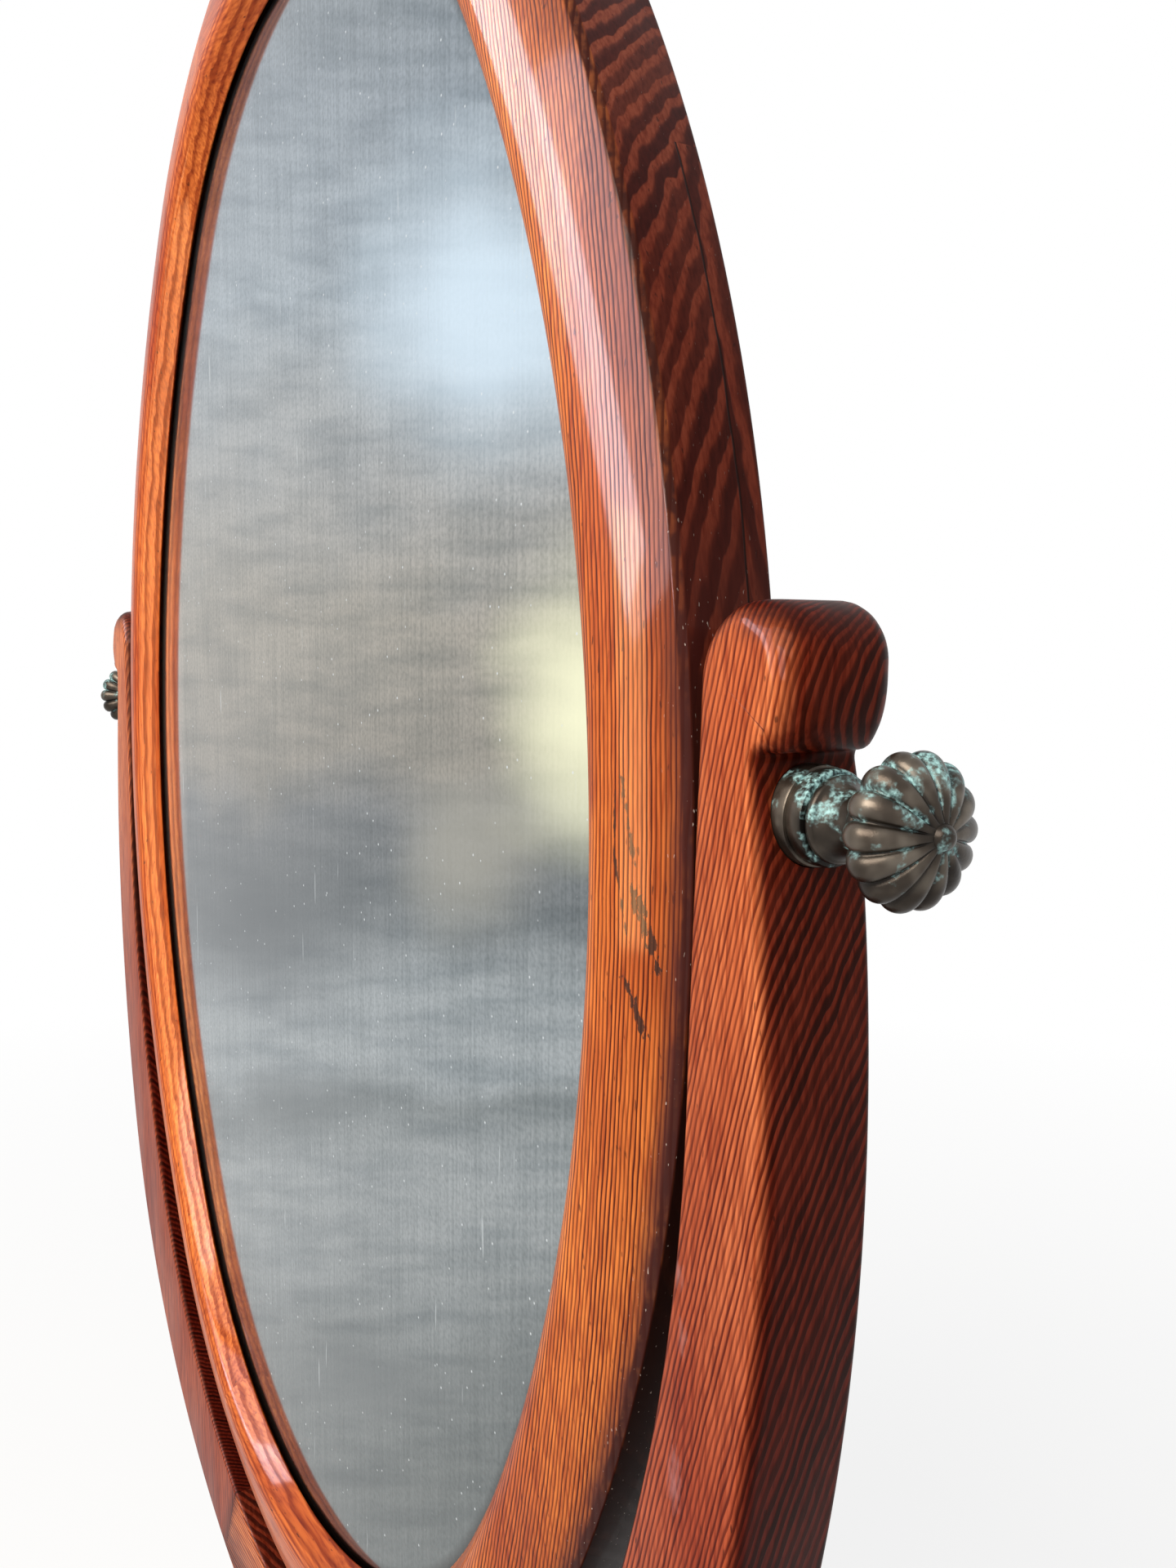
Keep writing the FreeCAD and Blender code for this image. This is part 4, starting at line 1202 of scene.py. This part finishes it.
# %% Marks on the frame
def frame_surface(add, place, colour, height, from_crack):
    """Lay the arris's stain, dirt behind the arm, pale scratches, gouges and the crack over the pine."""
    across = add("Attribute", out="Fac", attribute_name="across")
    near_arris = add("MapRange", {0: across, 1: 0.84, 2: 0.96, 3: 0.0, 4: 1.0})
    z = add("SeparateXYZ", {0: place}, "Z")
    low_down = add("MapRange", {0: z, 1: pivot_z + 25 * mm, 2: pivot_z + 55 * mm, 3: 1.0, 4: 0.12})
    outer_half = add("MapRange", {0: across, 1: 0.5, 2: 0.9, 3: 0.0, 4: 1.0})
    high_up = add("MapRange", {0: z, 1: pivot_z, 2: pivot_z + 50 * mm, 3: 0.35, 4: 1.0})
    duller = add("Math", {0: outer_half, 1: high_up}, operation="MULTIPLY")
    dull = tint("#B4A6A8")
    colour = add("Mix", {0: duller, 6: colour, 7: dull}, 2, data_type="RGBA", blend_type="MULTIPLY")
    drop = add("VectorMath", {0: place, 1: (1, 1, 0.3)}, operation="MULTIPLY")
    blotch = add("TexNoise", {"Vector": drop, "Scale": 1 / (5 * mm), "Detail": 4.0}, "Fac")
    blotch = add("MapRange", {0: blotch, 1: 0.34, 2: 0.55, 3: 0.5, 4: 0.95})
    stain = add("Math", {0: near_arris, 1: blotch}, operation="MULTIPLY")
    stain = add("Math", {0: stain, 1: low_down}, operation="MULTIPLY")
    colour = add("Mix", {0: stain, 6: colour, 7: tint("#3E1A16")}, 2, data_type="RGBA")
    on_edge = add("Attribute", out="Fac", attribute_name="patina")
    behind_arm = add("MapRange", {0: z, 1: pivot_z - 5 * mm, 2: pivot_z + 25 * mm, 3: 0.85, 4: 0.0})
    dirt = add("Math", {0: behind_arm, 1: on_edge}, operation="MULTIPLY")
    colour = add("Mix", {0: dirt, 6: colour, 7: tint("#1A0C08")}, 2, data_type="RGBA")
    scratch = add("TexNoise", {"Vector": drop, "Scale": 1 / (0.5 * mm), "Detail": 1.0}, "Fac")
    scratch = add("MapRange", {0: scratch, 1: 0.74, 2: 0.78, 3: 0.0, 4: 0.8})
    scratch = add("Math", {0: scratch, 1: stain}, operation="MULTIPLY")
    colour = add("Mix", {0: scratch, 6: colour, 7: tint("#C9B9AE")}, 2, data_type="RGBA")
    gouge = gouge_mask(add, place)
    colour = add("Mix", {0: gouge, 6: colour, 7: tint("#241814")}, 2, data_type="RGBA")
    height = add("Math", {0: gouge, 1: -4.0, 2: height}, operation="MULTIPLY_ADD")
    gap = add("Math", {0: from_crack}, operation="ABSOLUTE")
    crack = add("MapRange", {0: gap, 1: crack_half, 2: 2 * crack_half, 3: 0.95, 4: 0.0})
    below_top = add("Math", {0: z, 1: crack_top_z}, operation="LESS_THAN")
    crack = add("Math", {0: crack, 1: below_top}, operation="MULTIPLY")
    colour = add("Mix", {0: crack, 6: colour, 7: tint("#150706")}, 2, data_type="RGBA")
    height = add("Math", {0: crack, 1: -3.0, 2: height}, operation="MULTIPLY_ADD")
    return colour, height


frame_marks = {"layers": crack_layers, "surface": frame_surface}
print("frame marks ready")

# %% Marks on the arms
# Scuffs as (x, z, reach across, reach up, share), in millimetres, with z from the pivot
scuffs = [(184, -123, 2.5, 7, 0.6), (184, -84, 2, 3, 0.4), (185.6, -95, 1.5, 4, 0.4)]


def same_layers(add, place, phase):
    """The arms have no crack, so their layers stay as they are."""
    return phase, None


def reach_from(add, place, spot, reach_x, reach_z):
    """Distance from a spot, seen from the front, where 1 is its reach across or up."""
    away = add("VectorMath", {0: place, 1: spot}, operation="SUBTRACT")
    away = add("VectorMath", {0: away, 1: (1 / reach_x, 0, 1 / reach_z)}, operation="MULTIPLY")
    return add("VectorMath", {0: away}, "Value", operation="LENGTH")


def arm_surface(add, place, colour, height, from_crack):
    """Lay scuffs, soot on the inner side, a redder polish lower down and grime on the head over the pine."""
    drop = add("VectorMath", {0: place, 1: (1, 1, 0.3)}, operation="MULTIPLY")
    rub = add("TexNoise", {"Vector": drop, "Scale": 1 / (0.9 * mm), "Detail": 4.0}, "Fac")
    for x, z, reach_x, reach_z, share in scuffs:
        reach = reach_from(add, place, (x * mm, 0, pivot_z + z * mm), reach_x * mm, reach_z * mm)
        reach = add("Math", {0: rub, 1: 2.4, 2: reach}, operation="MULTIPLY_ADD")
        mask = add("MapRange", {0: reach, 1: 1.0, 2: 2.2, 3: share, 4: 0.0})
        colour = add("Mix", {0: mask, 6: colour, 7: tint("#C4A096")}, 2, data_type="RGBA")
    beyond = add("Attribute", out="Fac", attribute_name="beyond")
    unwiped = add("Attribute", out="Fac", attribute_name="patina")
    soot = add("MapRange", {0: beyond, 1: face_width + 6 * mm, 2: face_width + 10 * mm, 3: 0.9, 4: 0.0})
    soot = add("Math", {0: soot, 1: unwiped}, operation="MULTIPLY")
    colour = add("Mix", {0: soot, 6: colour, 7: tint("#2A110C")}, 2, data_type="RGBA")
    z = add("SeparateXYZ", {0: place}, "Z")
    lower = add("MapRange", {0: z, 1: pivot_z - 120 * mm, 2: pivot_z + 20 * mm, 3: 1.0, 4: 0.0})
    redder = tint("#CEB0BC")
    colour = add("Mix", {0: lower, 6: colour, 7: redder}, 2, data_type="RGBA", blend_type="MULTIPLY")
    top = add("MapRange", {0: z, 1: head_top_z - 9 * mm, 2: head_top_z - 1 * mm, 3: 0.0, 4: 1.0})
    grime = add("TexNoise", {"Vector": place, "Scale": 1 / (6 * mm), "Detail": 5.0}, "Fac")
    grime = add("MapRange", {0: grime, 1: 0.38, 2: 0.6, 3: 0.15, 4: 0.9})
    grime = add("Math", {0: grime, 1: top}, operation="MULTIPLY")
    colour = add("Mix", {0: grime, 6: colour, 7: tint("#2A1210")}, 2, data_type="RGBA")
    return colour, height


arm_marks = {"layers": same_layers, "surface": arm_surface}
print(len(scuffs), "scuffs on the arms")

# %% Pine on every wooden piece
# Early and late wood on the front, then on the sides
frame_tones = ("#DA7D34", "#541F0C", "#B46446", "#521F1A")
worn_tones = ("#D67832", "#A04A1C", "#8E4A2C", "#5A281A")
arm_tones = ("#DC8650", "#74301A", "#76301E", "#30100B")
# Radius in which the layers bend along the fibres
straight = 4.0
limb_bow = 0.555
# Weight of the shellac
frame_polish = 0.25
arm_polish = 0.12
stand_polish = 0.2


def finish_with(material, *pieces):
    """Give pieces or CAD nodes one material in every slot."""
    for piece in pieces:
        if not piece.material_slots:
            piece.data.materials.append(material)
        for place in piece.material_slots:
            place.material = material


def finish_pine(piece, layer, spacing, along, bow, tones, polish, marks=None):
    """Cut one piece's own pine and lay it on."""
    finish_with(pine(piece.name + "_polished", layer, spacing, along, bow, tones, polish, marks), piece)


finish_pine(right_segment, (1, 0.21, 0), 1.08 * mm, "z", limb_bow, frame_tones, frame_polish, frame_marks)
finish_pine(left_segment, None, 1.5 * mm, "z", straight, worn_tones, frame_polish)
finish_pine(top_segment, None, 1.5 * mm, "x", straight, worn_tones, frame_polish)
finish_pine(bottom_segment, None, 1.5 * mm, "x", straight, worn_tones, frame_polish)
finish_pine(right_arm, (1, 0.56, -0.27), 1.15 * mm, "z", straight, arm_tones, arm_polish, arm_marks)
finish_pine(left_arm, (-1, 0.5, 0.2), 1.2 * mm, "z", straight, arm_tones, arm_polish, arm_marks)
finish_pine(bridge, (0.08, 0.5, 1), 1.3 * mm, "x", straight, arm_tones, arm_polish)
finish_pine(column, (1, 0.4, 0.06), 1.5 * mm, "z", straight, arm_tones, stand_polish)
finish_pine(base, (0.1, 1, 0.45), 1.6 * mm, "x", straight, arm_tones, stand_polish)
for foot in feet:
    finish_pine(foot, (0.3, 1, 0.3), 1.5 * mm, "x", straight, arm_tones, stand_polish)
print("pine on every wooden piece")

# %% [markdown]
# ## Brass with a century on it
#
# Old cast brass that is handled but never cleaned goes bronze-brown, black in the hollows, and grows a
# turquoise bloom of verdigris where damp sits. Brown oxide hides most of the metal, so the surface is only
# partly metallic. The hollows were kept as an attribute when the lobes were pressed in.

# %% Aged brass
def aged_brass():
    """Dark bronze with a dull shine. The eye catches the crusty turquoise in the hollows and on top."""
    material, add, place = new_material("brass_bronzed_with_verdigris")
    hollow = add("Attribute", out="Fac", attribute_name="hollow")
    worn = add("TexNoise", {"Vector": place, "Scale": 1 / (6 * mm), "Detail": 2.0}, "Fac")
    colour = add("ValToRGB", {0: worn}, stops=[(0.3, "#28221D"), (0.5, "#463E36"), (0.7, "#6C645A")])
    soot = add("Math", {0: hollow, 1: 0.9}, operation="MULTIPLY")
    colour = add("Mix", {0: soot, 6: colour, 7: tint("#0C0A09")}, 2, data_type="RGBA")
    damp = add("TexNoise", {"Vector": place, "Scale": 1 / (4.5 * mm), "Detail": 5.0}, "Fac")
    z = add("SeparateXYZ", {0: place}, "Z")
    underside = add("MapRange", {0: z, 1: pivot_z - 15 * mm, 2: pivot_z - 1 * mm, 3: 0.8, 4: 0.0})
    colour = add("Mix", {0: underside, 6: colour, 7: tint("#17120E")}, 2, data_type="RGBA")
    upper = add("MapRange", {0: z, 1: pivot_z - 10 * mm, 2: pivot_z + 10 * mm, 3: -0.12, 4: 0.09})
    bloom = add("Math", {0: damp, 1: upper}, operation="ADD")
    bloom = add("Math", {0: hollow, 1: 0.12, 2: bloom}, operation="MULTIPLY_ADD")
    bloom = add("MapRange", {0: bloom, 1: 0.57, 2: 0.70, 3: 0.0, 4: 0.95})
    crumb = add("TexNoise", {"Vector": place, "Scale": 1 / (0.8 * mm), "Detail": 3.0}, "Fac")
    crumbs = add("MapRange", {0: crumb, 1: 0.38, 2: 0.6, 3: 0.15, 4: 1.0})
    bloom = add("Math", {0: bloom, 1: crumbs}, operation="MULTIPLY")
    green = add("ValToRGB", {0: crumb}, stops=[(0.35, "#467074"), (0.65, "#A2D0D0")])
    colour = add("Mix", {0: bloom, 6: colour, 7: green}, 2, data_type="RGBA")
    metal = add("Math", {0: bloom, 1: -0.75, 2: 0.75}, operation="MULTIPLY_ADD", use_clamp=True)
    rough = add("Math", {0: bloom, 1: 0.35, 2: 0.34}, operation="MULTIPLY_ADD")
    bump = add("Bump", {"Strength": 0.3, "Distance": 0.12 * mm, "Height": crumb})
    shader = add("BsdfPrincipled", {
        "Base Color": colour, "Metallic": metal, "Roughness": rough, "Normal": bump,
    })
    add("OutputMaterial", {"Surface": shader})
    return material


finish_with(aged_brass(), right_knob, left_knob, right_collar, left_collar)
print("knobs and collars bronzed")

# %% [markdown]
# ## Old silvered glass
#
# The plate still mirrors, but its silvering is cloudy: grey-blue bands lie across it, fine wipe marks run
# up and down, and there are specks and drips. A clean mirror would only show the studio, so the clouds
# are in the silver itself, as the colour of a metal that is slightly rough. The bands spread like a fan
# from the right side to the left. At the rim, where damp crept in, the silver has gone black.

# %% Silvered glass
fan_z = pivot_z + 30 * mm
fan_reach = 463 * mm
band_sway = 22 * mm
# Tones from the bottom of the fan to its top, as (height in millimetres, colour)
silver_bands = [
    (-260, "#767C7C"), (-215, "#868C8D"), (-180, "#A0A6A8"), (-160, "#A5ABAD"), (-141, "#8B9294"),
    (-130, "#AAB1B4"), (-106, "#A4ABAE"), (-80, "#7C8285"), (-55, "#85888A"), (-35, "#A09B92"),
    (0, "#ACA79D"), (40, "#B1B2B1"), (90, "#AEB9C2"), (144, "#9FA9B2"), (180, "#8E979E"),
]
# Cloudy places as (x, height in the fan, reach across, reach up, share, colour), in millimetres
silver_glows = [
    (100, 90, 85, 55, 0.8, "#DCF0FF"),
    (152, -20, 56, 50, 0.9, "#FFFFDA"),
    (95, -62, 44, 34, 0.6, "#B0ADA0"),
    (-55, -82, 120, 36, 0.8, "#5E6468"),
    (-20, -138, 70, 14, 0.6, "#6C7376"),
    (40, -225, 90, 20, 0.6, "#6E7476"),
]


def silvered_glass():
    """Cloudy old mirror. The eye gets soft bands of grey and blue, two pale glows, drips and specks."""
    material, add, place = new_material("glass_silvered_cloudy")
    x = add("SeparateXYZ", {0: place}, "X")
    z = add("SeparateXYZ", {0: place}, "Z")
    narrowing = add("Math", {0: x, 1: -1 / fan_reach, 2: 1.0}, operation="MULTIPLY_ADD")
    fan = add("Math", {0: z, 1: fan_z}, operation="SUBTRACT")
    fan = add("Math", {0: fan, 1: narrowing}, operation="DIVIDE")
    sheet = add("CombineXYZ", {"X": x, "Z": fan})
    broad = add("VectorMath", {0: sheet, 1: (0.4, 0, 1)}, operation="MULTIPLY")
    wave = add("TexNoise", {"Vector": broad, "Scale": 1 / (45 * mm), "Detail": 3.0}, "Fac")
    swayed = add("Math", {0: wave, 1: 2 * band_sway, 2: fan}, operation="MULTIPLY_ADD")
    lowest, highest = silver_bands[0][0], silver_bands[-1][0]
    bottom = lowest * mm + band_sway
    top = highest * mm + band_sway
    level = add("MapRange", {0: swayed, 1: bottom, 2: top, 3: 0.0, 4: 1.0})
    stops = [((height - lowest) / (highest - lowest), colour) for height, colour in silver_bands]
    colour = add("ValToRGB", {0: level}, stops=stops)

    # Ripples across, wipe marks up and down, and grit
    ripple = add("VectorMath", {0: sheet, 1: (0.12, 0, 1)}, operation="MULTIPLY")
    ripple = add("TexNoise", {"Vector": ripple, "Scale": 1 / (7 * mm), "Detail": 2.0}, "Fac")
    ripple = add("ValToRGB", {0: ripple}, stops=[(0.25, "#D4D9DC"), (0.6, "#FFFFFF")])
    colour = add("Mix", {0: 1.0, 6: colour, 7: ripple}, 2, data_type="RGBA", blend_type="MULTIPLY")
    upright = add("VectorMath", {0: place, 1: (1, 1, 0.03)}, operation="MULTIPLY")
    wipe = add("TexNoise", {"Vector": upright, "Scale": 1 / (1 * mm), "Detail": 3.0}, "Fac")
    wipe = add("ValToRGB", {0: wipe}, stops=[(0.3, "#E6E8E8"), (0.62, "#FFFFFF")])
    colour = add("Mix", {0: 1.0, 6: colour, 7: wipe}, 2, data_type="RGBA", blend_type="MULTIPLY")
    grit = add("TexNoise", {"Vector": place, "Scale": 1 / (1.2 * mm), "Detail": 3.0}, "Fac")
    grit = add("ValToRGB", {0: grit}, stops=[(0.3, "#E2E4E4"), (0.58, "#FFFFFF")])
    colour = add("Mix", {0: 1.0, 6: colour, 7: grit}, 2, data_type="RGBA", blend_type="MULTIPLY")

    # Glows, the clear strip by the left side, drips and specks
    for glow_x, glow_z, reach_x, reach_z, glow_share, glow in silver_glows:
        reach = reach_from(add, sheet, (glow_x * mm, 0, glow_z * mm), reach_x * mm, reach_z * mm)
        reach = add("Math", {0: wave, 1: reach}, operation="ADD")
        soft = {"interpolation_type": "SMOOTHSTEP"}
        share = add("MapRange", {0: reach, 1: 0.6, 2: 1.6, 3: glow_share, 4: 0.0}, **soft)
        colour = add("Mix", {0: share, 6: colour, 7: tint(glow)}, 2, data_type="RGBA")
    clear_side = add("MapRange", {0: x, 1: -152 * mm, 2: -122 * mm, 3: 0.75, 4: 0.0})
    colour = add("Mix", {0: clear_side, 6: colour, 7: tint("#F0E6DC")}, 2, data_type="RGBA")
    runny = add("VectorMath", {0: place, 1: (1, 1, 0.07)}, operation="MULTIPLY")
    drip = add("TexNoise", {"Vector": runny, "Scale": 1 / (2 * mm), "Detail": 1.0}, "Fac")
    drip = add("MapRange", {0: drip, 1: 0.76, 2: 0.8, 3: 0.0, 4: 0.35})
    speck = add("TexVoronoi", {"Vector": place, "Scale": 1 / (4.5 * mm)}, "Distance")
    speck = add("MapRange", {0: speck, 1: 0.04, 2: 0.09, 3: 0.8, 4: 0.0})
    pale = add("Math", {0: drip, 1: speck}, operation="MAXIMUM")
    colour = add("Mix", {0: pale, 6: colour, 7: tint("#E4EAEC")}, 2, data_type="RGBA")

    # The blackened rim
    inside = add("Attribute", out="Fac", attribute_name="inside")
    ragged = add("Math", {0: wave, 1: 2 * mm, 2: inside}, operation="MULTIPLY_ADD")
    gone = add("MapRange", {0: ragged, 1: rim_black, 2: rim_clean, 3: 0.9, 4: 0.0})
    colour = add("Mix", {0: gone, 6: colour, 7: tint("#1E1A17")}, 2, data_type="RGBA")
    shader = add("BsdfPrincipled", {"Base Color": colour, "Metallic": 0.94, "Roughness": 0.07})
    add("OutputMaterial", {"Surface": shader})
    return material


finish_with(silvered_glass(), glass)
print("plate silvered")

# %% [markdown]
# ## What is behind and inside
#
# The back board and blocks are raw softwood gone brown with dust, the screws are dull steel, the plates
# that take the pivot screws are plain brass and the friction washers are leather. They hardly show, but a
# part is looked at from all sides, so each gets its own grain and wear.

# %% Plain materials
def raw_board():
    """Bare softwood, brown and dusty. The eye gets a dry, matt grain."""
    material, add, place = new_material("softwood_raw_dusty")
    thread = add("VectorMath", {0: place, 1: (1, 0.4, 0.03)}, operation="MULTIPLY")
    fibre = add("TexNoise", {"Vector": thread, "Scale": 1 / (2.5 * mm), "Detail": 4.0}, "Fac")
    colour = add("ValToRGB", {0: fibre}, stops=[(0.3, "#6C4A2D"), (0.5, "#866240"), (0.7, "#96724C")])
    dust = add("TexNoise", {"Vector": place, "Scale": 1 / (32 * mm), "Detail": 4.0}, "Fac")
    dust = add("MapRange", {0: dust, 1: 0.4, 2: 0.7, 3: 0.0, 4: 0.45})
    colour = add("Mix", {0: dust, 6: colour, 7: tint("#6E5C4B")}, 2, data_type="RGBA")
    bump = add("Bump", {"Strength": 0.3, "Distance": 0.2 * mm, "Height": fibre})
    shader = add("BsdfPrincipled", {"Base Color": colour, "Normal": bump, "Roughness": 0.75})
    add("OutputMaterial", {"Surface": shader})
    return material


def dull_metal(name, dark, bright, rough):
    """Metal that nobody polishes. The eye gets a soft, blotchy shine."""
    material, add, place = new_material(name)
    wear = add("TexNoise", {"Vector": place, "Scale": 1 / (1.2 * mm), "Detail": 4.0}, "Fac")
    colour = add("ValToRGB", {0: wear}, stops=[(0.35, dark), (0.65, bright)])
    shader = add("BsdfPrincipled", {"Base Color": colour, "Metallic": 0.9, "Roughness": rough})
    add("OutputMaterial", {"Surface": shader})
    return material


def washer_leather():
    """Pressed leather. The eye gets a dark brown edge with fine pores."""
    material, add, place = new_material("leather_pressed_dark")
    pore = add("TexVoronoi", {"Vector": place, "Scale": 1 / (0.6 * mm)}, "Distance")
    colour = add("ValToRGB", {0: pore}, stops=[(0.1, "#20120B"), (0.6, "#4A2E1E")])
    bump = add("Bump", {"Strength": 0.3, "Distance": 0.08 * mm, "Height": pore})
    shader = add("BsdfPrincipled", {"Base Color": colour, "Normal": bump, "Roughness": 0.7})
    add("OutputMaterial", {"Surface": shader})
    return material


nodes = frame["nodes"]
raw_pieces = ("back_board", "glazing_blocks", "frame_dowels", "yoke_tongues")
steel_pieces = ("back_board_screws", "column_screw", "right_pivot_screw", "left_pivot_screw")
brass_pieces = ("right_pivot_plate", "left_pivot_plate", "pivot_plate_screws")
leather_pieces = ("right_friction_washer", "left_friction_washer")
finish_with(raw_board(), *[nodes[name] for name in raw_pieces])
finish_with(dull_metal("steel_dull", "#4A453F", "#8D8880", 0.42), *[nodes[name] for name in steel_pieces])
finish_with(dull_metal("brass_dull", "#6B5428", "#A88A4A", 0.45), *[nodes[name] for name in brass_pieces])
finish_with(washer_leather(), *[nodes[name] for name in leather_pieces])
print("inner pieces finished")

# %% [markdown]
# ## Studio
#
# The background is white paper. A broad soft light stands in front, to the right and above. The pale sheen on
# the upper part of the moulding and the thin light along its left crest are mirror images of bright panels.
# The panels only show in the polish of the wood, so the glass stays free of them.

# %% Floor
floor_size = 8
near_share = 0.82
shadow_reach = 0.4
paper_reach = 1.3


def shows_background(add):
    """1 where the camera, metal or glass looks at the background, and 0 where it only sends light on."""
    seen = add("LightPath", out="Is Camera Ray")
    for ray in ("Is Glossy Ray", "Is Transmission Ray"):
        also = add("LightPath", out=ray)
        seen = add("Math", {0: seen, 1: also}, operation="MAXIMUM")
    return seen


def white_paper():
    """Matt white paper. The eye gets the shadow near the stand, and plain white further away."""
    material, add, place = new_material("paper_white")
    distance = add("VectorMath", {0: place}, "Value", operation="LENGTH")
    share = add("MapRange", {0: distance, 1: shadow_reach, 2: paper_reach, 3: near_share, 4: 1.0})
    seen = shows_background(add)
    share = add("Math", {0: share, 1: seen}, operation="MULTIPLY")
    matt = add("BsdfDiffuse", {"Color": tint("#F4F4F2")})
    white = add("Emission", {"Color": tint("#FFFFFF"), "Strength": 1.0})
    mixed = add("MixShader", {0: share, 1: matt, 2: white})
    add("OutputMaterial", {"Surface": mixed})
    return material


deselect()
bpy.ops.mesh.primitive_plane_add(size=floor_size, location=(0, 0, 0))
floor = bpy.context.object
floor.name = "studio_floor"
finish_with(white_paper(), floor)
print("white paper laid,", floor_size, "m wide")

# %% World
ambient_strength = 0.42
world = bpy.data.worlds.new("studio")
bpy.context.scene.world = world
world.use_nodes = True
add = cleared(world.node_tree)
seen = shows_background(add)
ambient = add("Background", {"Color": tint("#F2F4F8"), "Strength": ambient_strength})
white = add("Background", {"Color": tint("#FFFFFF"), "Strength": 1.0})
mixed = add("MixShader", {0: seen, 1: ambient, 2: white})
add("OutputWorld", {"Surface": mixed})
print("ambient light at", ambient_strength)


# %% Lamps
def softbox(name, place, target, width, height, watts, colour, only_on=None, roll=0):
    """A soft lamp at a place, turned to a target, or a panel that shows only in the polish of some pieces."""
    lamp = bpy.data.lights.new(name, "AREA")
    lamp.shape = "RECTANGLE"
    lamp.size = width
    lamp.size_y = height
    lamp.energy = watts
    lamp.color = tint(colour)[:3]
    holder = bpy.data.objects.new(name, lamp)
    holder.location = place
    facing = (Vector(target) - Vector(place)).to_track_quat("-Z", "Y")
    holder.rotation_euler = (facing @ Quaternion((0, 0, 1), math.radians(roll))).to_euler()
    if only_on:
        holder.visible_diffuse = False
        holder.light_linking.receiver_collection = only_on
    bpy.context.scene.collection.objects.link(holder)


def gathered(name, *pieces):
    """A collection that a panel can be kept to."""
    group = bpy.data.collections.new(name)
    for piece in pieces:
        group.objects.link(piece)
    return group


far_polish = gathered("far_polish", left_segment, top_segment, bottom_segment)
polished = gathered("polish", right_segment, right_arm, left_arm, bridge, *far_polish.objects)
middle = (0, 0, pivot_z)
# Name, place, target, width, height, watts and colour, and for a panel its pieces and its roll in degrees
softbox("key_softbox", (0.55, -1.5, pivot_z + 1.1), middle, 1.6, 1.2, 56, "#FFF4E8")
softbox("sheen_panel", (-1.28, -1.86, pivot_z + 0.9), middle, 0.4, 1.7, 62, "#F4F0FF", polished, 40)
softbox("sheen_fill", (-0.78, -2.09, pivot_z + 0.9), middle, 1.0, 1.4, 52, "#F4F0FF", polished, 24)
softbox("crest_panel", (0.04, -0.7, pivot_z - 0.06), middle, 0.24, 0.45, 9, "#FFC080", far_polish)
softbox("slope_panel", (0.5, -1.87, pivot_z + 0.55), middle, 0.7, 0.4, 20, "#FFE6F0", polished)
softbox("golden_panel", (-0.2, -0.7, pivot_z - 0.02), middle, 0.14, 0.4, 4, "#FFC080", polished)
print("studio lit")

# %% [markdown]
# ## Camera
#
# The photograph was taken close, from the right and a little above the pivot, with a short lens, so the near
# arm looms and the far side falls away. The camera stands at that place with the same angle of view.

# %% Camera
photo_height = 1920
focal_pixels = 1683
sensor = 36
yaw = math.radians(57.3)
pitch = 0.112
roll = 0.011
nearest = 10 * mm
camera_place = Vector((370.9 * mm, -151.8 * mm, pivot_z + 29.8 * mm))

forward = Vector((-math.sin(yaw) * math.cos(pitch), math.cos(yaw) * math.cos(pitch), -math.sin(pitch)))
level = Vector((math.cos(yaw), math.sin(yaw), 0))
upward = level.cross(forward)
right = level * math.cos(roll) + upward * math.sin(roll)
up = upward * math.cos(roll) - level * math.sin(roll)
lens = bpy.data.cameras.new("photo_view")
lens.sensor_width = sensor
lens.lens = focal_pixels * sensor / photo_height
lens.clip_start = nearest
camera = bpy.data.objects.new("photo_view", lens)
camera.matrix_world = Matrix((right, up, -forward)).transposed().to_4x4()
camera.location = camera_place
bpy.context.scene.collection.objects.link(camera)
bpy.context.scene.camera = camera
bpy.context.scene.view_settings.view_transform = "Standard"
print("lens", round(lens.lens, 2), "mm")
